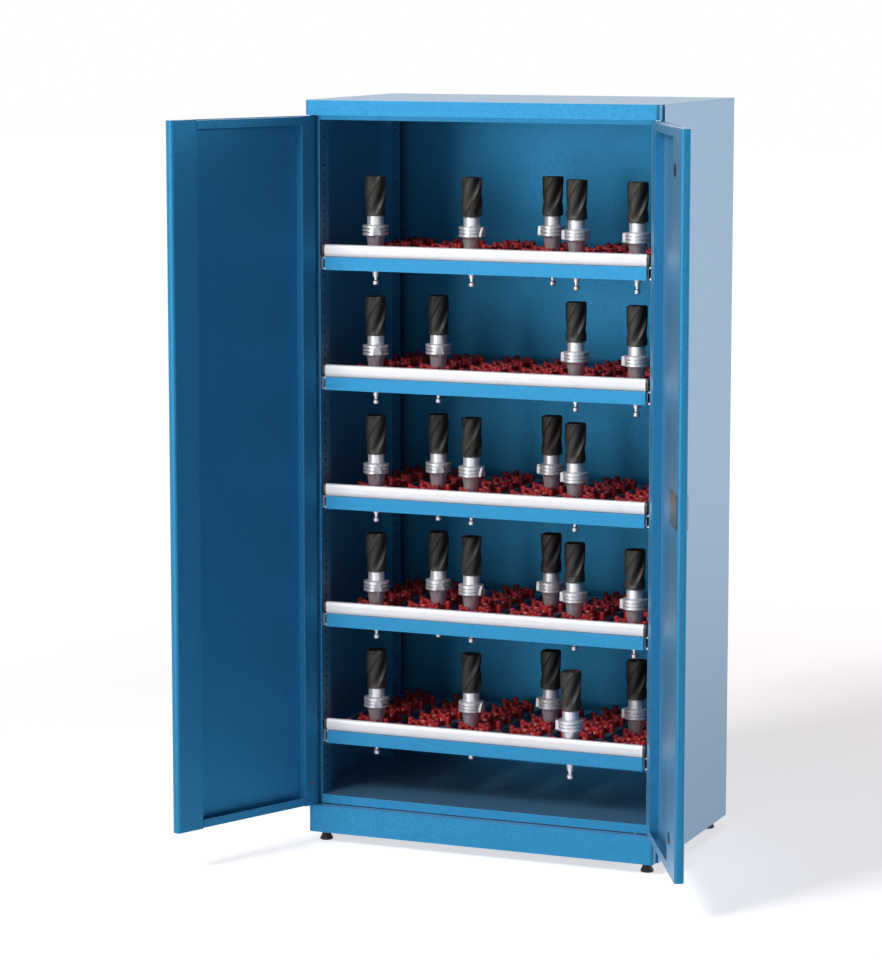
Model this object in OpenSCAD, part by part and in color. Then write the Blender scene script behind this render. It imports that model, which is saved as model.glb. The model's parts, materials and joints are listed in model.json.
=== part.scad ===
// Tool cabinet with two hinged doors and five pull-out carriers for tool holders.
// Millimetres; +Z is up, the doors face -Y, and the floor is at z = 0.
// The doors are modelled fully open, which is their rest position.

/* [Cabinet] */
// Width over the side panels
cabinet_width = 1010; // [900:1:1200]
// Depth from the closed door faces to the back panel
cabinet_depth = 615; // [560:1:700]
// Height of the body above its feet
body_height = 2000; // [1950:1:2200]
// Height of the levelling feet
foot_height = 30; // [20:1:50]
// Thickness of the folded steel sheet
sheet = 1.5; // [1:0.1:2]
// How far the front edge of the side panels lies behind the door faces
side_setback = 28; // [27.6:0.2:32]
// Width of the side panels' folded front edge
side_flange = 22; // [12:1:30]
// Width of the side panels' folded rear edge
rear_flange = 17; // [10:1:30]
// Distance from the middle of the box that holds the open cabinet to the door faces
face_offset = 90; // [80:1:110]

/* [Front frame] */
// Height of the fascia above the doors
fascia_height = 40; // [30:1:60]
// How far the fascia and plinth ends lie inside the side panels
end_inset = 6; // [2:1:12]
// Radius of the rounded ends of the fascia and plinth
end_radius = 9; // [4:1:14]
// Height of the plinth below the doors
plinth_height = 74; // [60:1:100]
// Gap between the plinth and the floor panel's front edge
floor_gap = 2; // [1:0.5:16]
// Height of the floor panel's folded front edge
floor_lip = 24; // [10:1:30]
// How far the door stop rail reaches below the fascia
stop_drop = 13; // [8:1:20]
// Depth of the folded edge under the door stop rail
stop_return = 20; // [10:1:30]

/* [Uprights] */
// Distance between the side of the cabinet and the inner face of an upright
upright_inset = 35; // [30:1:45]
// Width of an upright from front to back
upright_width = 60; // [50:1:70]
// Distance between the rear uprights and the back of the cabinet
rear_upright_gap = 35; // [30:1:60]
// Distance between two holes of an upright
hole_pitch = 25; // [20:5:50]
// Diameter of the upright holes
hole_d = 9; // [6:0.5:12]
// Height of the lowest hole above the cabinet floor
first_hole = 25; // [15:1:50]
// Least distance of the highest hole below the roof
last_hole = 90; // [20:1:200]

/* [Feet] */
// Diameter of a foot
foot_d = 35; // [25:1:50]
// Diameter of the top of a foot
foot_top_d = 22; // [18:1:26]
// Height of a foot's straight rim
foot_rim = 9; // [5:0.5:12]
// Bevel around the sole of a foot
foot_bevel = 1; // [0.5:0.5:2]
// Diameter of the foot screw
foot_screw_d = 10; // [8:1:12]
// Gap between the foot screw and its bores all round
foot_screw_play = 0.2; // [0.1:0.05:0.5]
// Length of the foot screw above the base rail
foot_screw_rise = 40; // [20:1:60]
// Width over the corners of the foot screw's nut
nut_d = 19; // [16:0.5:22]
// Height of the foot screw's nut
nut_height = 8; // [5:0.5:12]
// Distance of the foot centres from the side of the cabinet
foot_inset = 38; // [30:1:45]
// Distance of the front feet behind the door faces
front_foot_y = 48; // [46:1:80]
// Distance between a rear foot's middle and the back of the cabinet
rear_foot_inset = 45; // [35:1:60]
// Width of a base rail
base_rail_width = 65; // [60:1:80]

/* [Doors] */
// Thickness of a door
door_thickness = 26; // [24:0.5:26]
// Gap between a door and the side of the cabinet
door_side_gap = 2; // [1:0.5:4]
// Gap between the two closed doors
door_middle_gap = 4; // [2:0.5:6]
// Gap between a door and the fascia above it
door_top_gap = 2; // [1.5:0.5:3]
// Gap between a door and the plinth below it
door_low_gap = 1; // [0.8:0.1:3]
// Radius of a door's vertical edges
door_radius = 9; // [6:0.5:10]
// Width of the folded frame at a door's hinge side
hinge_stile = 50; // [40:1:60]
// Width of the folded frame at the left door's free side
left_stile = 86; // [60:1:120]
// Width of the folded frame at the right door's free side
right_stile = 133; // [128:1:150]
// Width of the folded frame at a door's top and bottom
rim_width = 22; // [15:1:30]
// How far the rim ends short of the upright frame members
rim_step = 2; // [1:0.5:3]
// Width of the inner foot of an upright door member
stile_foot = 12; // [8:1:20]
// How far the left door opens
left_angle = 114; // [90:1:120]
// How far the right door opens
right_angle = 117; // [90:1:120]
// Distance of the door pivot from the door's hinge edge
pivot_inset = 12; // [10:0.5:14]
// Distance of the door pivot behind the door face
pivot_depth = 13; // [12:0.5:14]
// Diameter of the pivot pins
pivot_d = 8; // [6:0.5:9]
// Diameter of the pivot pins' collars
collar_d = 14; // [12:0.5:16]
// Diameter of the pivot pins' heads behind the frame
pivot_head_d = 12; // [10:0.5:12.5]
// Length of a pivot pin inside the door
pivot_length = 18; // [12:1:24]
// Length of a pivot pin behind the frame
pivot_tail = 5; // [3:1:8]
// Diameter of the bushes in the doors
bush_d = 15; // [13:0.5:16]
// Length of the bushes in the doors
bush_length = 20; // [14:1:30]
// Gap between a pivot pin and its bush all round
pivot_play = 0.05; // [0.02:0.01:0.1]
// Gap between a door and the collar that it turns on
collar_play = 0.2; // [0.1:0.05:0.3]
// Distance of a catch magnet from the cabinet's middle
magnet_x = 12; // [6:1:40]
// Height of a catch magnet above the lower edge of the door stop rail
magnet_rise = 1.5; // [1.5:0.5:4]
// Length of a catch magnet
magnet_length = 40; // [20:1:60]
// Height of a catch magnet
magnet_height = 8; // [5:1:9]
// Depth of a catch magnet behind the door stop rail
magnet_depth = 12; // [6:1:20]

/* [Lock] */
// Height of the lock's centre above the floor
lock_z = 1044; // [900:1:1200]
// Distance of the lock's centre from the door's free edge
lock_inset = 67; // [62:1:70]
// Width of the lock case inside the door
case_width = 100; // [80:1:104]
// Height of the lock case inside the door
case_height = 78; // [70:1:90]
// Depth of the recess for the turn knob
recess_depth = 14; // [12:0.5:15]
// Thickness of the lock case walls
case_wall = 2; // [1.5:0.5:3]
// How far the lock case's border covers the door outside
border = 7; // [4:1:8]
// Thickness of the lock case's border
border_thickness = 1.5; // [1:0.5:2]
// Width of the cover plate inside the door
cover_width = 117; // [112:1:120]
// Height of the cover plate inside the door
cover_height = 90; // [84:1:110]
// Thickness of the cover plate
cover_thickness = 1.4; // [1:0.1:1.5]
// Gap between the lock case and the openings of the door
case_fit = 0.3; // [0.1:0.1:0.5]
// Diameter of the turn knob's disc
knob_d = 58; // [50:1:66]
// Thickness of the turn knob's disc
knob_disc = 4; // [3:0.5:5]
// Height of the turn knob's grip
knob_grip = 7; // [5:0.5:8]
// How far the grip's ends lie inside the edge of the disc
grip_inset = 2; // [1:0.5:6]
// Width of the turn knob's grip
grip_width = 12; // [8:1:18]
// Diameter of the turn knob's shaft
shaft_d = 10; // [8:0.5:12]
// Gap between the shaft and its bore all round
shaft_play = 0.05; // [0.02:0.01:0.1]
// Gap between moving parts inside the lock
lock_play = 0.3; // [0.3:0.1:0.5]
// Distance from the shaft's centre to the rods
rod_offset = 7.64; // [7:0.01:8]
// Width of a lock rod
rod_width = 8; // [6:0.5:9]
// Thickness of a lock rod
rod_thickness = 5; // [4:0.5:5.5]
// How far a lock rod passes the shaft's centre
rod_overlap = 22; // [18:1:30]
// How far a lock rod's end lies inside the door
rod_recess = 0.5; // [0:0.5:1]
// Gap around a rod in its keeper hole of the frame
keeper_play = 1.2; // [0.8:0.1:2]
// Number of guides on each rod
guide_count = 2; // [1:1:3]
// Distance of the outermost guide from the door's end
guide_end = 157; // [60:1:200]
// Width of a rod guide
guide_width = 20; // [16:1:26]
// Height of a rod guide
guide_height = 14; // [8:1:20]
// Distance of the upper plug from the door's top
plug_top = 105; // [80:1:150]
// Distance of the lower plug from the door's lower end
plug_low = 94; // [80:1:150]
// Distance of the plugs from the door's free edge
plug_inset = 97; // [90:1:104]
// Diameter of the plugs
plug_d = 33; // [28:1:36]
// Diameter of the plugs' holes
plug_hole_d = 26; // [20:1:28]
// Height of a plug above the door
plug_rise = 1.4; // [1:0.1:1.5]
// Depth of a plug inside the door
plug_depth = 8; // [4:1:10]
// Gap between a plug and its hole all round
plug_fit = 0.1; // [0.05:0.05:0.2]

/* [Pull-outs] */
// Height of the lowest pull-out's handle above the floor
lowest_handle = 343.6; // [300:0.1:360]
// Distance between two pull-outs
shelf_pitch = 325; // [320:5:350]
// Gap between the pull-out frame and an upright, filled by the slide
slide_space = 13; // [12.7:0.1:14]
// Height of the pull-out's front panel
front_height = 35; // [30:1:40]
// How far the front panel lies behind the door faces
front_y = 31; // [30:0.5:34]
// Distance between a pull-out's frame and the back of the cabinet
frame_rear_gap = 55; // [40:1:80]
// Width of the frame's folded edges
frame_flange = 20; // [12:1:30]
// Depth of the front panel's lower edge
front_ledge = 17; // [12:1:17]
// Height of the handle profile
handle_height = 34; // [28:1:38]
// Depth of the handle profile
handle_depth = 10; // [8:0.5:10]
// How far the handle lies behind the door faces
handle_y = 29.5; // [29:0.5:30]
// Radius of the handle profile's front edges
handle_radius = 5; // [3:0.5:6]
// Wall of the handle profile
handle_wall = 2; // [1.5:0.25:3]
// Length of the handle's end caps
cap_length = 9; // [5:1:10]

/* [Slides] */
// Distance between the slides' rear end and the rear of the frame
slide_rear_gap = 15; // [5:1:60]
// Height of a slide
slide_height = 34; // [30:1:35]
// How far a slide starts behind the door faces
slide_y = 45; // [42:1:60]
// Thickness of the slide members
slide_sheet = 1.3; // [1:0.1:1.4]
// Gap between two slide members
slide_play = 0.3; // [0.3:0.05:0.5]
// How much shorter the middle member is
mid_shorter = 20; // [0:5:60]
// Gap between the slide members' lips and the neighbouring member
lip_gap = 0.7; // [0.5:0.1:1]

/* [Carriers] */
// Number of carriers in a pull-out
carrier_count = 6; // [4:1:6]
// Gap between the outermost carriers and the frame's sides
carrier_side_gap = 22.5; // [2:0.5:40]
// Width of a carrier
carrier_width = 116; // [112:1:126]
// Height of the handle's top above the carriers
carrier_drop = 34; // [34:0.5:40]
// Number of sockets in a carrier
socket_count = 12; // [6:1:12]
// Distance of the last socket from the carrier's rear edge
last_socket = 41.1; // [38:0.1:46]
// Distance of the first socket behind the door faces
first_socket = 62; // [62:0.5:64]
// Sideways offset of a socket from the carrier's middle
socket_shift = 18; // [17:0.5:20]
// Gap between the first carrier edge and the handle
carrier_gap = 1.5; // [0.5:0.5:2]

/* [Sockets] */
// Outer diameter of a socket's ring
ring_d = 44; // [43.5:0.1:44]
// Height of a socket's ring above the carrier
ring_height = 12; // [8:0.5:14]
// Outer diameter of a socket's sleeve
sleeve_d = 42; // [40:0.5:42.5]
// Depth of a socket's sleeve below the carrier's top
sleeve_depth = 24; // [15:1:28]
// Gap between a sleeve and its carrier hole all round
sleeve_fit = 0.15; // [0.1:0.05:0.3]
// Gap between a tool's cone and its socket all round
cone_fit = 0.1; // [0.05:0.05:0.2]
// Distance of the lobes from the socket's centre
lobe_reach = 29; // [28.6:0.1:29.8]
// Diameter of a lobe
lobe_d = 16; // [14:0.5:16]
// Height of a lobe above the carrier
lobe_height = 22; // [14:0.5:24]
// Height of the bevel on a lobe
lobe_bevel = 3; // [1:0.5:5]
// Angle between a socket's outer lobe and its neighbours
lobe_angle = 75; // [72:1:78]

/* [Tools] */
// Height of a tool's flange above the handle's top
flange_rise = 20; // [15:1:25]
// Large diameter of the tool cone
cone_d = 50; // [46:0.5:50]
// Small diameter of the tool cone
cone_end_d = 19.4; // [16:0.1:22]
// Length of the tool cone
cone_length = 105; // [95:1:110]
// Length of the pull stud
stud_length = 30; // [20:1:34]
// Diameter of the pull stud's head
stud_d = 17; // [14:0.5:19]
// Diameter of the pull stud's neck
stud_neck_d = 10; // [8:0.5:12]
// Length of the pull stud's head
stud_head = 10.5; // [8:0.5:12]
// Length of the slope between the pull stud's head and its neck
stud_slope = 3; // [1:0.5:4]
// Length of the pull stud's foot under the cone
stud_foot = 7.5; // [4:0.5:10]
// Bevel around the pull stud's head
stud_bevel = 2; // [0.5:0.5:3]
// Diameter of a tool's flange
flange_d = 70; // [58:0.5:70]
// Thickness of a tool's flange
flange_height = 27; // [24:0.5:30]
// Depth of the groove around the flange
groove_depth = 4.5; // [3:0.5:6]
// Width of the groove around the flange
groove_width = 12; // [8:0.5:14]
// Width of the groove's floor
groove_floor = 2; // [1:0.5:6]
// Diameter of the chuck above the flange
chuck_d = 45; // [34:0.5:48]
// Height of the chuck above the flange
chuck_height = 28; // [22:1:32]
// Diameter of the cutter
cutter_d = 57; // [44:0.5:58]
// Length of the cutter
cutter_length = 104; // [90:1:115]
// Number of flutes on a cutter
flute_count = 4; // [2:1:6]
// Diameter of a flute's round groove
flute_d = 14; // [8:0.5:18]
// How far a flute's centre lies outside the cutter
flute_shift = 1; // [0:0.5:3]
// Width of the flat plate on a tool's flange
key_width = 22; // [16:1:24]
// Height of the flat plate on a tool's flange
key_height = 24; // [16:1:24]
// How far the flat plate stands out of the flange
key_reach = 5; // [2:0.5:6]

/* [Hidden] */
$fn = 64;
// Overlap that keeps a cut clear of the faces it passes
over = 1;
half_w = cabinet_width / 2;
top_z = foot_height + body_height;
roof_z = top_z - sheet;
fascia_z = top_z - fascia_height;
ledge_z = foot_height + plinth_height;
lip_z = ledge_z + floor_gap;
floor_z = lip_z + floor_lip;
front_end = half_w - end_inset;
// The frame's rear faces: back panel, then the side panels' rear fold
back_y = cabinet_depth - sheet;
side_back_y = back_y - sheet;
inner_front_y = side_setback + sheet;
rear_upright_y = cabinet_depth - rear_upright_gap - upright_width;
rear_foot_y = cabinet_depth - rear_foot_inset;
upright_x = half_w - upright_inset;
foot_x = half_w - foot_inset;
foot_bore_r = foot_screw_d / 2 + foot_screw_play;
hole_count = floor((roof_z - last_hole - floor_z - first_hole) / hole_pitch) + 1;
// Doors
door_w = half_w - door_side_gap - door_middle_gap / 2;
door_z0 = ledge_z + door_low_gap;
door_z1 = fascia_z - door_top_gap;
door_back = door_thickness - sheet;
pivot_x = half_w - door_side_gap - pivot_inset;
pivot_hole = pivot_d / 2 + pivot_play;
// Lock
lock_u = door_w - lock_inset;
recess_y = recess_depth + case_wall;
rod_y0 = recess_y + lock_play;
rod_y1 = rod_y0 + rod_thickness;
rod_shift = rod_offset + rod_width / 2;
gear_r = rod_offset - lock_play;
plug_u = door_w - plug_inset;
// Pull-outs
frame_x = upright_x - slide_space;
frame_y1 = cabinet_depth - frame_rear_gap;
slide_length = frame_y1 - slide_rear_gap - slide_y;
cap_x = frame_x + cap_length;
carrier_y0 = handle_y + handle_depth + carrier_gap;
carrier_y1 = frame_y1 - sheet;
carrier_x1 = frame_x - sheet - carrier_side_gap - carrier_width / 2;
socket_pitch = (carrier_y1 - last_socket - first_socket) / (socket_count - 1);
mid_length = slide_length - mid_shorter;
// How fast a tool's cone narrows: radius lost per millimetre of height
cone_rate = (cone_d - cone_end_d) / 2 / cone_length;
BLUE = [0.13, 0.4, 0.66];
DARK_BLUE = [0.1, 0.3, 0.5];
ZINC = [0.7, 0.72, 0.75];
STEEL = [0.62, 0.63, 0.66];
ALUMINIUM = [0.88, 0.88, 0.92];
RED = [0.72, 0.06, 0.07];
BLACK = [0.08, 0.08, 0.08];
BRONZE = [0.3, 0.27, 0.24];

// Tools of each pull-out from the top one down: carrier, socket row, turn of the flat plate
TOOLS = [
  [[0, 2, -60], [2, 3, -15], [3, 6, 190], [4, 3, 195], [5, 2, 195]],
  [[0, 2, -60], [1, 4, -60], [4, 3, 195], [5, 2, 195]],
  [[0, 2, -60], [1, 4, -60], [2, 3, -15], [3, 6, 190], [4, 3, 195]],
  [[0, 2, -60], [1, 4, -60], [2, 3, -15], [3, 6, 190], [4, 3, 195], [5, 2, 195]],
  [[0, 2, -60], [2, 3, -15], [3, 6, 190], [4, 0, 195], [5, 5, 195]]
];

function handle_z(k) = lowest_handle + shelf_pitch * (len(TOOLS) - k);
function carrier_x(m) = (2 * m / (carrier_count - 1) - 1) * carrier_x1;
function socket_x(m, j) = carrier_x(m) + (j % 2 == 0 ? socket_shift : -socket_shift);
function socket_y(j) = first_socket + socket_pitch * j;
// Position on a closed door, at a distance u from its hinge edge
function door_x(s, u) = s * (half_w - door_side_gap - u);

// Places the cabinet's own front and middle in the shared frame
module in_frame() translate([0, -face_offset, 0]) children();

module block(xs, ys, zs)
  translate([min(xs), min(ys), min(zs)])
    cube([abs(xs[1] - xs[0]), abs(ys[1] - ys[0]), abs(zs[1] - zs[0])]);

// Flat outline with four rounded corners
module rounded(xs, ys, r) {
  x0 = min(xs);
  x1 = max(xs);
  translate([x0 + r, ys[0]]) square([x1 - x0 - 2 * r, ys[1] - ys[0]]);
  translate([x0, ys[0] + r]) square([x1 - x0, ys[1] - ys[0] - 2 * r]);
  for (x = [x0 + r, x1 - r], y = [ys[0] + r, ys[1] - r]) translate([x, y]) circle(r = r);
}

// Outline of the fascia and the plinth, with rounded front corners
module front_outline(inset)
  intersection() {
    rounded([-front_end + inset, front_end - inset], [inset, 2 * side_setback], end_radius - inset);
    translate([-front_end, 0]) square([2 * front_end, side_setback]);
  }

// Wall that follows the front outline and returns to the side panels
module front_wall(z0, z1)
  translate([0, 0, z0]) linear_extrude(z1 - z0) difference() {
    front_outline(0);
    front_outline(sheet);
  }

// Level plate that closes the front wall, with the pivot and rod holes of the doors
module front_plate(z0, rod_side)
  difference() {
    translate([0, 0, z0]) linear_extrude(sheet) front_outline(0);
    for (s = [-1, 1]) translate([s * pivot_x, pivot_depth, z0 - over])
      cylinder(d = pivot_d, h = sheet + 2 * over);
    block([door_x(1, lock_u + rod_side * rod_shift - rod_width / 2 - keeper_play),
           door_x(1, lock_u + rod_side * rod_shift + rod_width / 2 + keeper_play)],
          [rod_y0 - keeper_play, rod_y1 + keeper_play], [z0 - over, z0 + sheet + over]);
  }

module top_cover() color(BLUE) in_frame() {
  translate([0, 0, roof_z]) linear_extrude(sheet) {
    front_outline(0);
    translate([-half_w, side_setback]) square([cabinet_width, cabinet_depth - side_setback]);
  }
  front_wall(fascia_z, roof_z);
  front_plate(fascia_z, 1);
}

module plinth() color(BLUE) in_frame() {
  front_wall(foot_height, ledge_z);
  front_plate(ledge_z - sheet, -1);
  translate([0, 0, foot_height]) linear_extrude(sheet) front_outline(0);
}

module side_panel(s) color(BLUE) in_frame() {
  block([s * (half_w - sheet), s * half_w], [side_setback, back_y], [foot_height, roof_z]);
  block([s * (half_w - side_flange), s * half_w], [side_setback, inner_front_y], [foot_height, roof_z]);
  block([s * (half_w - rear_flange), s * half_w], [side_back_y, back_y], [foot_height, roof_z]);
}
module side_panel_left() side_panel(-1);
module side_panel_right() side_panel(1);

module back_panel() color(BLUE) in_frame()
  block([-half_w, half_w], [back_y, cabinet_depth], [foot_height, roof_z]);

module door_stop_rail() color(BLUE) in_frame() {
  rail_x = half_w - side_flange - slide_play;
  rail_z = fascia_z - stop_drop;
  block([-rail_x, rail_x], [side_setback, inner_front_y], [rail_z, roof_z]);
  block([-upright_x, upright_x], [side_setback, side_setback + stop_return], [rail_z, rail_z + sheet]);
}

module floor_panel() color(BLUE) in_frame() {
  floor_x = half_w - sheet;
  block([-floor_x, floor_x], [inner_front_y, side_back_y], [floor_z - sheet, floor_z]);
  block([-floor_x, floor_x], [inner_front_y, inner_front_y + sheet], [lip_z, floor_z]);
}

module base_rails() color(DARK_BLUE) in_frame() for (s = [-1, 1]) difference() {
  inner = half_w - base_rail_width;
  outer = half_w - sheet;
  union() {
    block([s * inner, s * outer], [inner_front_y + sheet, side_back_y], [foot_height, foot_height + sheet]);
    block([s * inner, s * (inner + sheet)], [inner_front_y + sheet, side_back_y],
          [foot_height, floor_z - sheet]);
    block([s * inner, s * outer], [inner_front_y + sheet, side_back_y],
          [floor_z - 2 * sheet, floor_z - sheet]);
  }
  for (y = [front_foot_y, rear_foot_y]) translate([s * foot_x, y, foot_height - over])
    cylinder(r = foot_bore_r, h = sheet + 2 * over);
}

// One perforated upright: a channel that is open towards the side panel
module upright(s, y0) {
  outer = half_w - sheet;
  y1 = y0 + upright_width;
  difference() {
    block([s * upright_x, s * (upright_x + sheet)], [y0, y1], [floor_z, roof_z]);
    for (i = [0 : hole_count - 1])
      translate([s * (upright_x - over), y0 + upright_width / 2, floor_z + first_hole + i * hole_pitch])
        rotate([0, s * 90, 0]) cylinder(d = hole_d, h = sheet + 2 * over);
  }
  for (y = [y0, y1 - sheet]) block([s * upright_x, s * outer], [y, y + sheet], [floor_z, roof_z]);
}
module uprights() color(BLUE) in_frame() for (s = [-1, 1], y = [inner_front_y, rear_upright_y]) upright(s, y);

module foot_places() for (s = [-1, 1], y = [front_foot_y, rear_foot_y]) translate([s * foot_x, y, 0]) children();

module foot_pads() color(BLACK) in_frame() foot_places() rotate_extrude() polygon([
  [0, 0], [foot_d / 2 - foot_bevel, 0], [foot_d / 2, foot_bevel], [foot_d / 2, foot_rim],
  [foot_top_d / 2, foot_height], [foot_bore_r, foot_height], [foot_bore_r, foot_rim], [0, foot_rim]
]);

module foot_screws() color(ZINC) in_frame() foot_places() {
  translate([0, 0, foot_rim])
    cylinder(d = foot_screw_d, h = foot_height - foot_rim + sheet + foot_screw_rise);
  translate([0, 0, foot_height + sheet]) cylinder(d = nut_d, h = nut_height, $fn = 6);
}

module pivot_pins() color(ZINC) in_frame() for (s = [-1, 1]) translate([s * pivot_x, pivot_depth, 0]) {
  lower_z = door_z0 - collar_play;
  upper_z = door_z1 + collar_play;
  translate([0, 0, ledge_z - sheet - pivot_tail])
    cylinder(d = pivot_d, h = door_z0 + pivot_length - ledge_z + sheet + pivot_tail);
  translate([0, 0, ledge_z]) cylinder(d = collar_d, h = lower_z - ledge_z);
  translate([0, 0, ledge_z - sheet - pivot_tail]) cylinder(d = pivot_head_d, h = pivot_tail);
  translate([0, 0, door_z1 - pivot_length])
    cylinder(d = pivot_d, h = fascia_z + sheet + pivot_tail - door_z1 + pivot_length);
  translate([0, 0, upper_z]) cylinder(d = collar_d, h = fascia_z - upper_z);
  translate([0, 0, fascia_z + sheet]) cylinder(d = pivot_head_d, h = pivot_tail);
}

module catch_magnets() color(BLACK) in_frame() for (s = [-1, 1]) {
  z = fascia_z - stop_drop + magnet_rise;
  block([s * magnet_x, s * (magnet_x + magnet_length)], [inner_front_y, inner_front_y + magnet_depth],
        [z, z + magnet_height]);
}

// Turns a closed door about its pivot to the open position
module opened(s) {
  angle = s > 0 ? right_angle : -left_angle;
  translate([s * pivot_x, pivot_depth, 0]) rotate([0, 0, angle]) translate([-s * pivot_x, -pivot_depth, 0])
    children();
}

module door_shell(s, free_stile) {
  difference() {
    union() {
      translate([0, 0, door_z0]) linear_extrude(door_z1 - door_z0) difference() {
        rounded([door_x(s, 0), door_x(s, door_w)], [0, door_thickness], door_radius);
        rounded([door_x(s, sheet), door_x(s, door_w - sheet)], [sheet, door_back], door_radius - sheet);
        translate([min(door_x(s, hinge_stile), door_x(s, door_w - free_stile)), door_back - over])
          square([door_w - free_stile - hinge_stile, sheet + 2 * over]);
      }
      for (z = [door_z0, door_z1 - sheet]) translate([0, 0, z]) linear_extrude(sheet) intersection() {
        rounded([door_x(s, 0), door_x(s, door_w)], [0, door_thickness], door_radius);
        union() {
          translate([min(door_x(s, 0), door_x(s, hinge_stile)), 0]) square([hinge_stile, door_thickness]);
          translate([min(door_x(s, door_w), door_x(s, door_w - free_stile)), 0])
            square([free_stile, door_thickness]);
        }
      }
      rim_u = [door_x(s, hinge_stile + rim_step), door_x(s, door_w - free_stile - rim_step)];
      for (z = [door_z0 + rim_step, door_z1 - rim_step - sheet])
        block(rim_u, [0, door_thickness], [z, z + sheet]);
      for (z = [door_z0 + rim_step, door_z1 - rim_step - rim_width])
        block(rim_u, [door_back, door_thickness], [z, z + rim_width]);
    }
    for (z = [door_z0, door_z1 - sheet]) translate([s * pivot_x, pivot_depth, z - over])
      cylinder(r = pivot_hole, h = sheet + 2 * over);
  }
}

module door_stiles(s, free_stile) difference() {
  z0 = door_z0 + sheet;
  z1 = door_z1 - sheet;
  union() {
    block([door_x(s, hinge_stile - sheet), door_x(s, hinge_stile)], [sheet, door_back], [z0, z1]);
    block([door_x(s, hinge_stile - stile_foot), door_x(s, hinge_stile)], [sheet, 2 * sheet], [z0, z1]);
    block([door_x(s, door_w - free_stile), door_x(s, door_w - free_stile + sheet)], [sheet, door_back],
          [z0, z1]);
    block([door_x(s, door_w - free_stile), door_x(s, door_w - free_stile + stile_foot)],
          [sheet, 2 * sheet], [z0, z1]);
    for (z = [z0, z1 - bush_length]) translate([s * pivot_x, pivot_depth, z])
      cylinder(d = bush_d, h = bush_length);
  }
  for (z = [z0 - over, z1 - bush_length - over]) translate([s * pivot_x, pivot_depth, z])
    cylinder(r = pivot_hole, h = bush_length + 2 * over);
}

module door_left_shell() color(BLUE) in_frame() opened(-1) door_shell(-1, left_stile);
module door_left_stiles() color(BLUE) in_frame() opened(-1) door_stiles(-1, left_stile);
module door_right_stiles() color(BLUE) in_frame() opened(1) door_stiles(1, right_stile);

// Range across the right door about the lock's centre
function lock_xs(width) = [door_x(1, lock_u - width / 2), door_x(1, lock_u + width / 2)];
function lock_zs(height) = [lock_z - height / 2, lock_z + height / 2];
// Range across the right door of the upper (1) or lower (-1) rod
function rod_xs(side, play) = [
  door_x(1, lock_u + side * rod_shift - rod_width / 2 - play),
  door_x(1, lock_u + side * rod_shift + rod_width / 2 + play)
];
plug_zs = [door_z0 + plug_low, door_z1 - plug_top];

module door_right_shell() color(BLUE) in_frame() opened(1) difference() {
  door_shell(1, right_stile);
  block(lock_xs(case_width + 2 * case_fit), [-over, door_thickness + over],
        lock_zs(case_height + 2 * case_fit));
  block(rod_xs(1, lock_play), [rod_y0 - lock_play, rod_y1 + lock_play],
        [door_z1 - sheet - over, door_z1 + over]);
  block(rod_xs(-1, lock_play), [rod_y0 - lock_play, rod_y1 + lock_play],
        [door_z0 - over, door_z0 + sheet + over]);
  for (z = plug_zs) translate([door_x(1, plug_u), door_back - over, z])
    rotate([-90, 0, 0]) cylinder(r = plug_hole_d / 2 + plug_fit, h = sheet + 2 * over);
}

module lock_case() color(BRONZE) in_frame() opened(1) difference() {
  union() {
    block(lock_xs(case_width), [0, door_thickness], lock_zs(case_height));
    block(lock_xs(case_width + 2 * border), [-border_thickness, 0], lock_zs(case_height + 2 * border));
  }
  block(lock_xs(case_width - 2 * case_wall), [-border_thickness - over, recess_depth],
        lock_zs(case_height - 2 * case_wall));
  block(lock_xs(case_width - 2 * case_wall), [recess_y, door_thickness + over],
        lock_zs(case_height - 2 * case_wall));
  translate([door_x(1, lock_u), recess_depth - over, lock_z])
    rotate([-90, 0, 0]) cylinder(r = shaft_d / 2 + shaft_play, h = case_wall + 2 * over);
  block(rod_xs(1, lock_play), [recess_y, rod_y1 + lock_play], [lock_z, lock_z + case_height]);
  block(rod_xs(-1, lock_play), [recess_y, rod_y1 + lock_play], [lock_z - case_height, lock_z]);
}

module lock_cover() color(BRONZE) in_frame() opened(1)
  block(lock_xs(cover_width), [door_thickness, door_thickness + cover_thickness], lock_zs(cover_height));

// The knob is drawn with its grip level; a quarter turn throws both rods
module turn_knob() color(BLACK) in_frame() opened(1) translate([door_x(1, lock_u), 0, lock_z])
  rotate([-90, 0, 0]) {
    disc_y = recess_depth - lock_play - knob_disc;
    translate([0, 0, disc_y]) cylinder(d = knob_d, h = knob_disc);
    translate([-knob_d / 2 + grip_inset, -grip_width / 2, disc_y - knob_grip])
      cube([knob_d - 2 * grip_inset, grip_width, knob_grip]);
    translate([0, 0, disc_y]) cylinder(d = shaft_d, h = rod_y1 - disc_y);
    translate([0, 0, rod_y0]) cylinder(r = gear_r, h = rod_thickness);
  }

module rod_upper() color(ZINC) in_frame() opened(1)
  block(rod_xs(1, 0), [rod_y0, rod_y1], [lock_z - rod_overlap, door_z1 - rod_recess]);

module rod_lower() color(ZINC) in_frame() opened(1)
  block(rod_xs(-1, 0), [rod_y0, rod_y1], [door_z0 + rod_recess, lock_z + rod_overlap]);

module rod_guides() color(BLACK) in_frame() opened(1) for (side = [-1, 1], i = [1 : guide_count]) {
  reach = side > 0 ? door_z1 - lock_z : lock_z - door_z0;
  z = lock_z + side * (reach - guide_end) * i / guide_count;
  mid = lock_u + side * rod_shift;
  difference() {
    block([door_x(1, mid - guide_width / 2), door_x(1, mid + guide_width / 2)], [sheet, door_back],
          [z - guide_height / 2, z + guide_height / 2]);
    block(rod_xs(side, lock_play), [rod_y0 - lock_play, rod_y1 + lock_play],
          [z - guide_height, z + guide_height]);
  }
}

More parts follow.
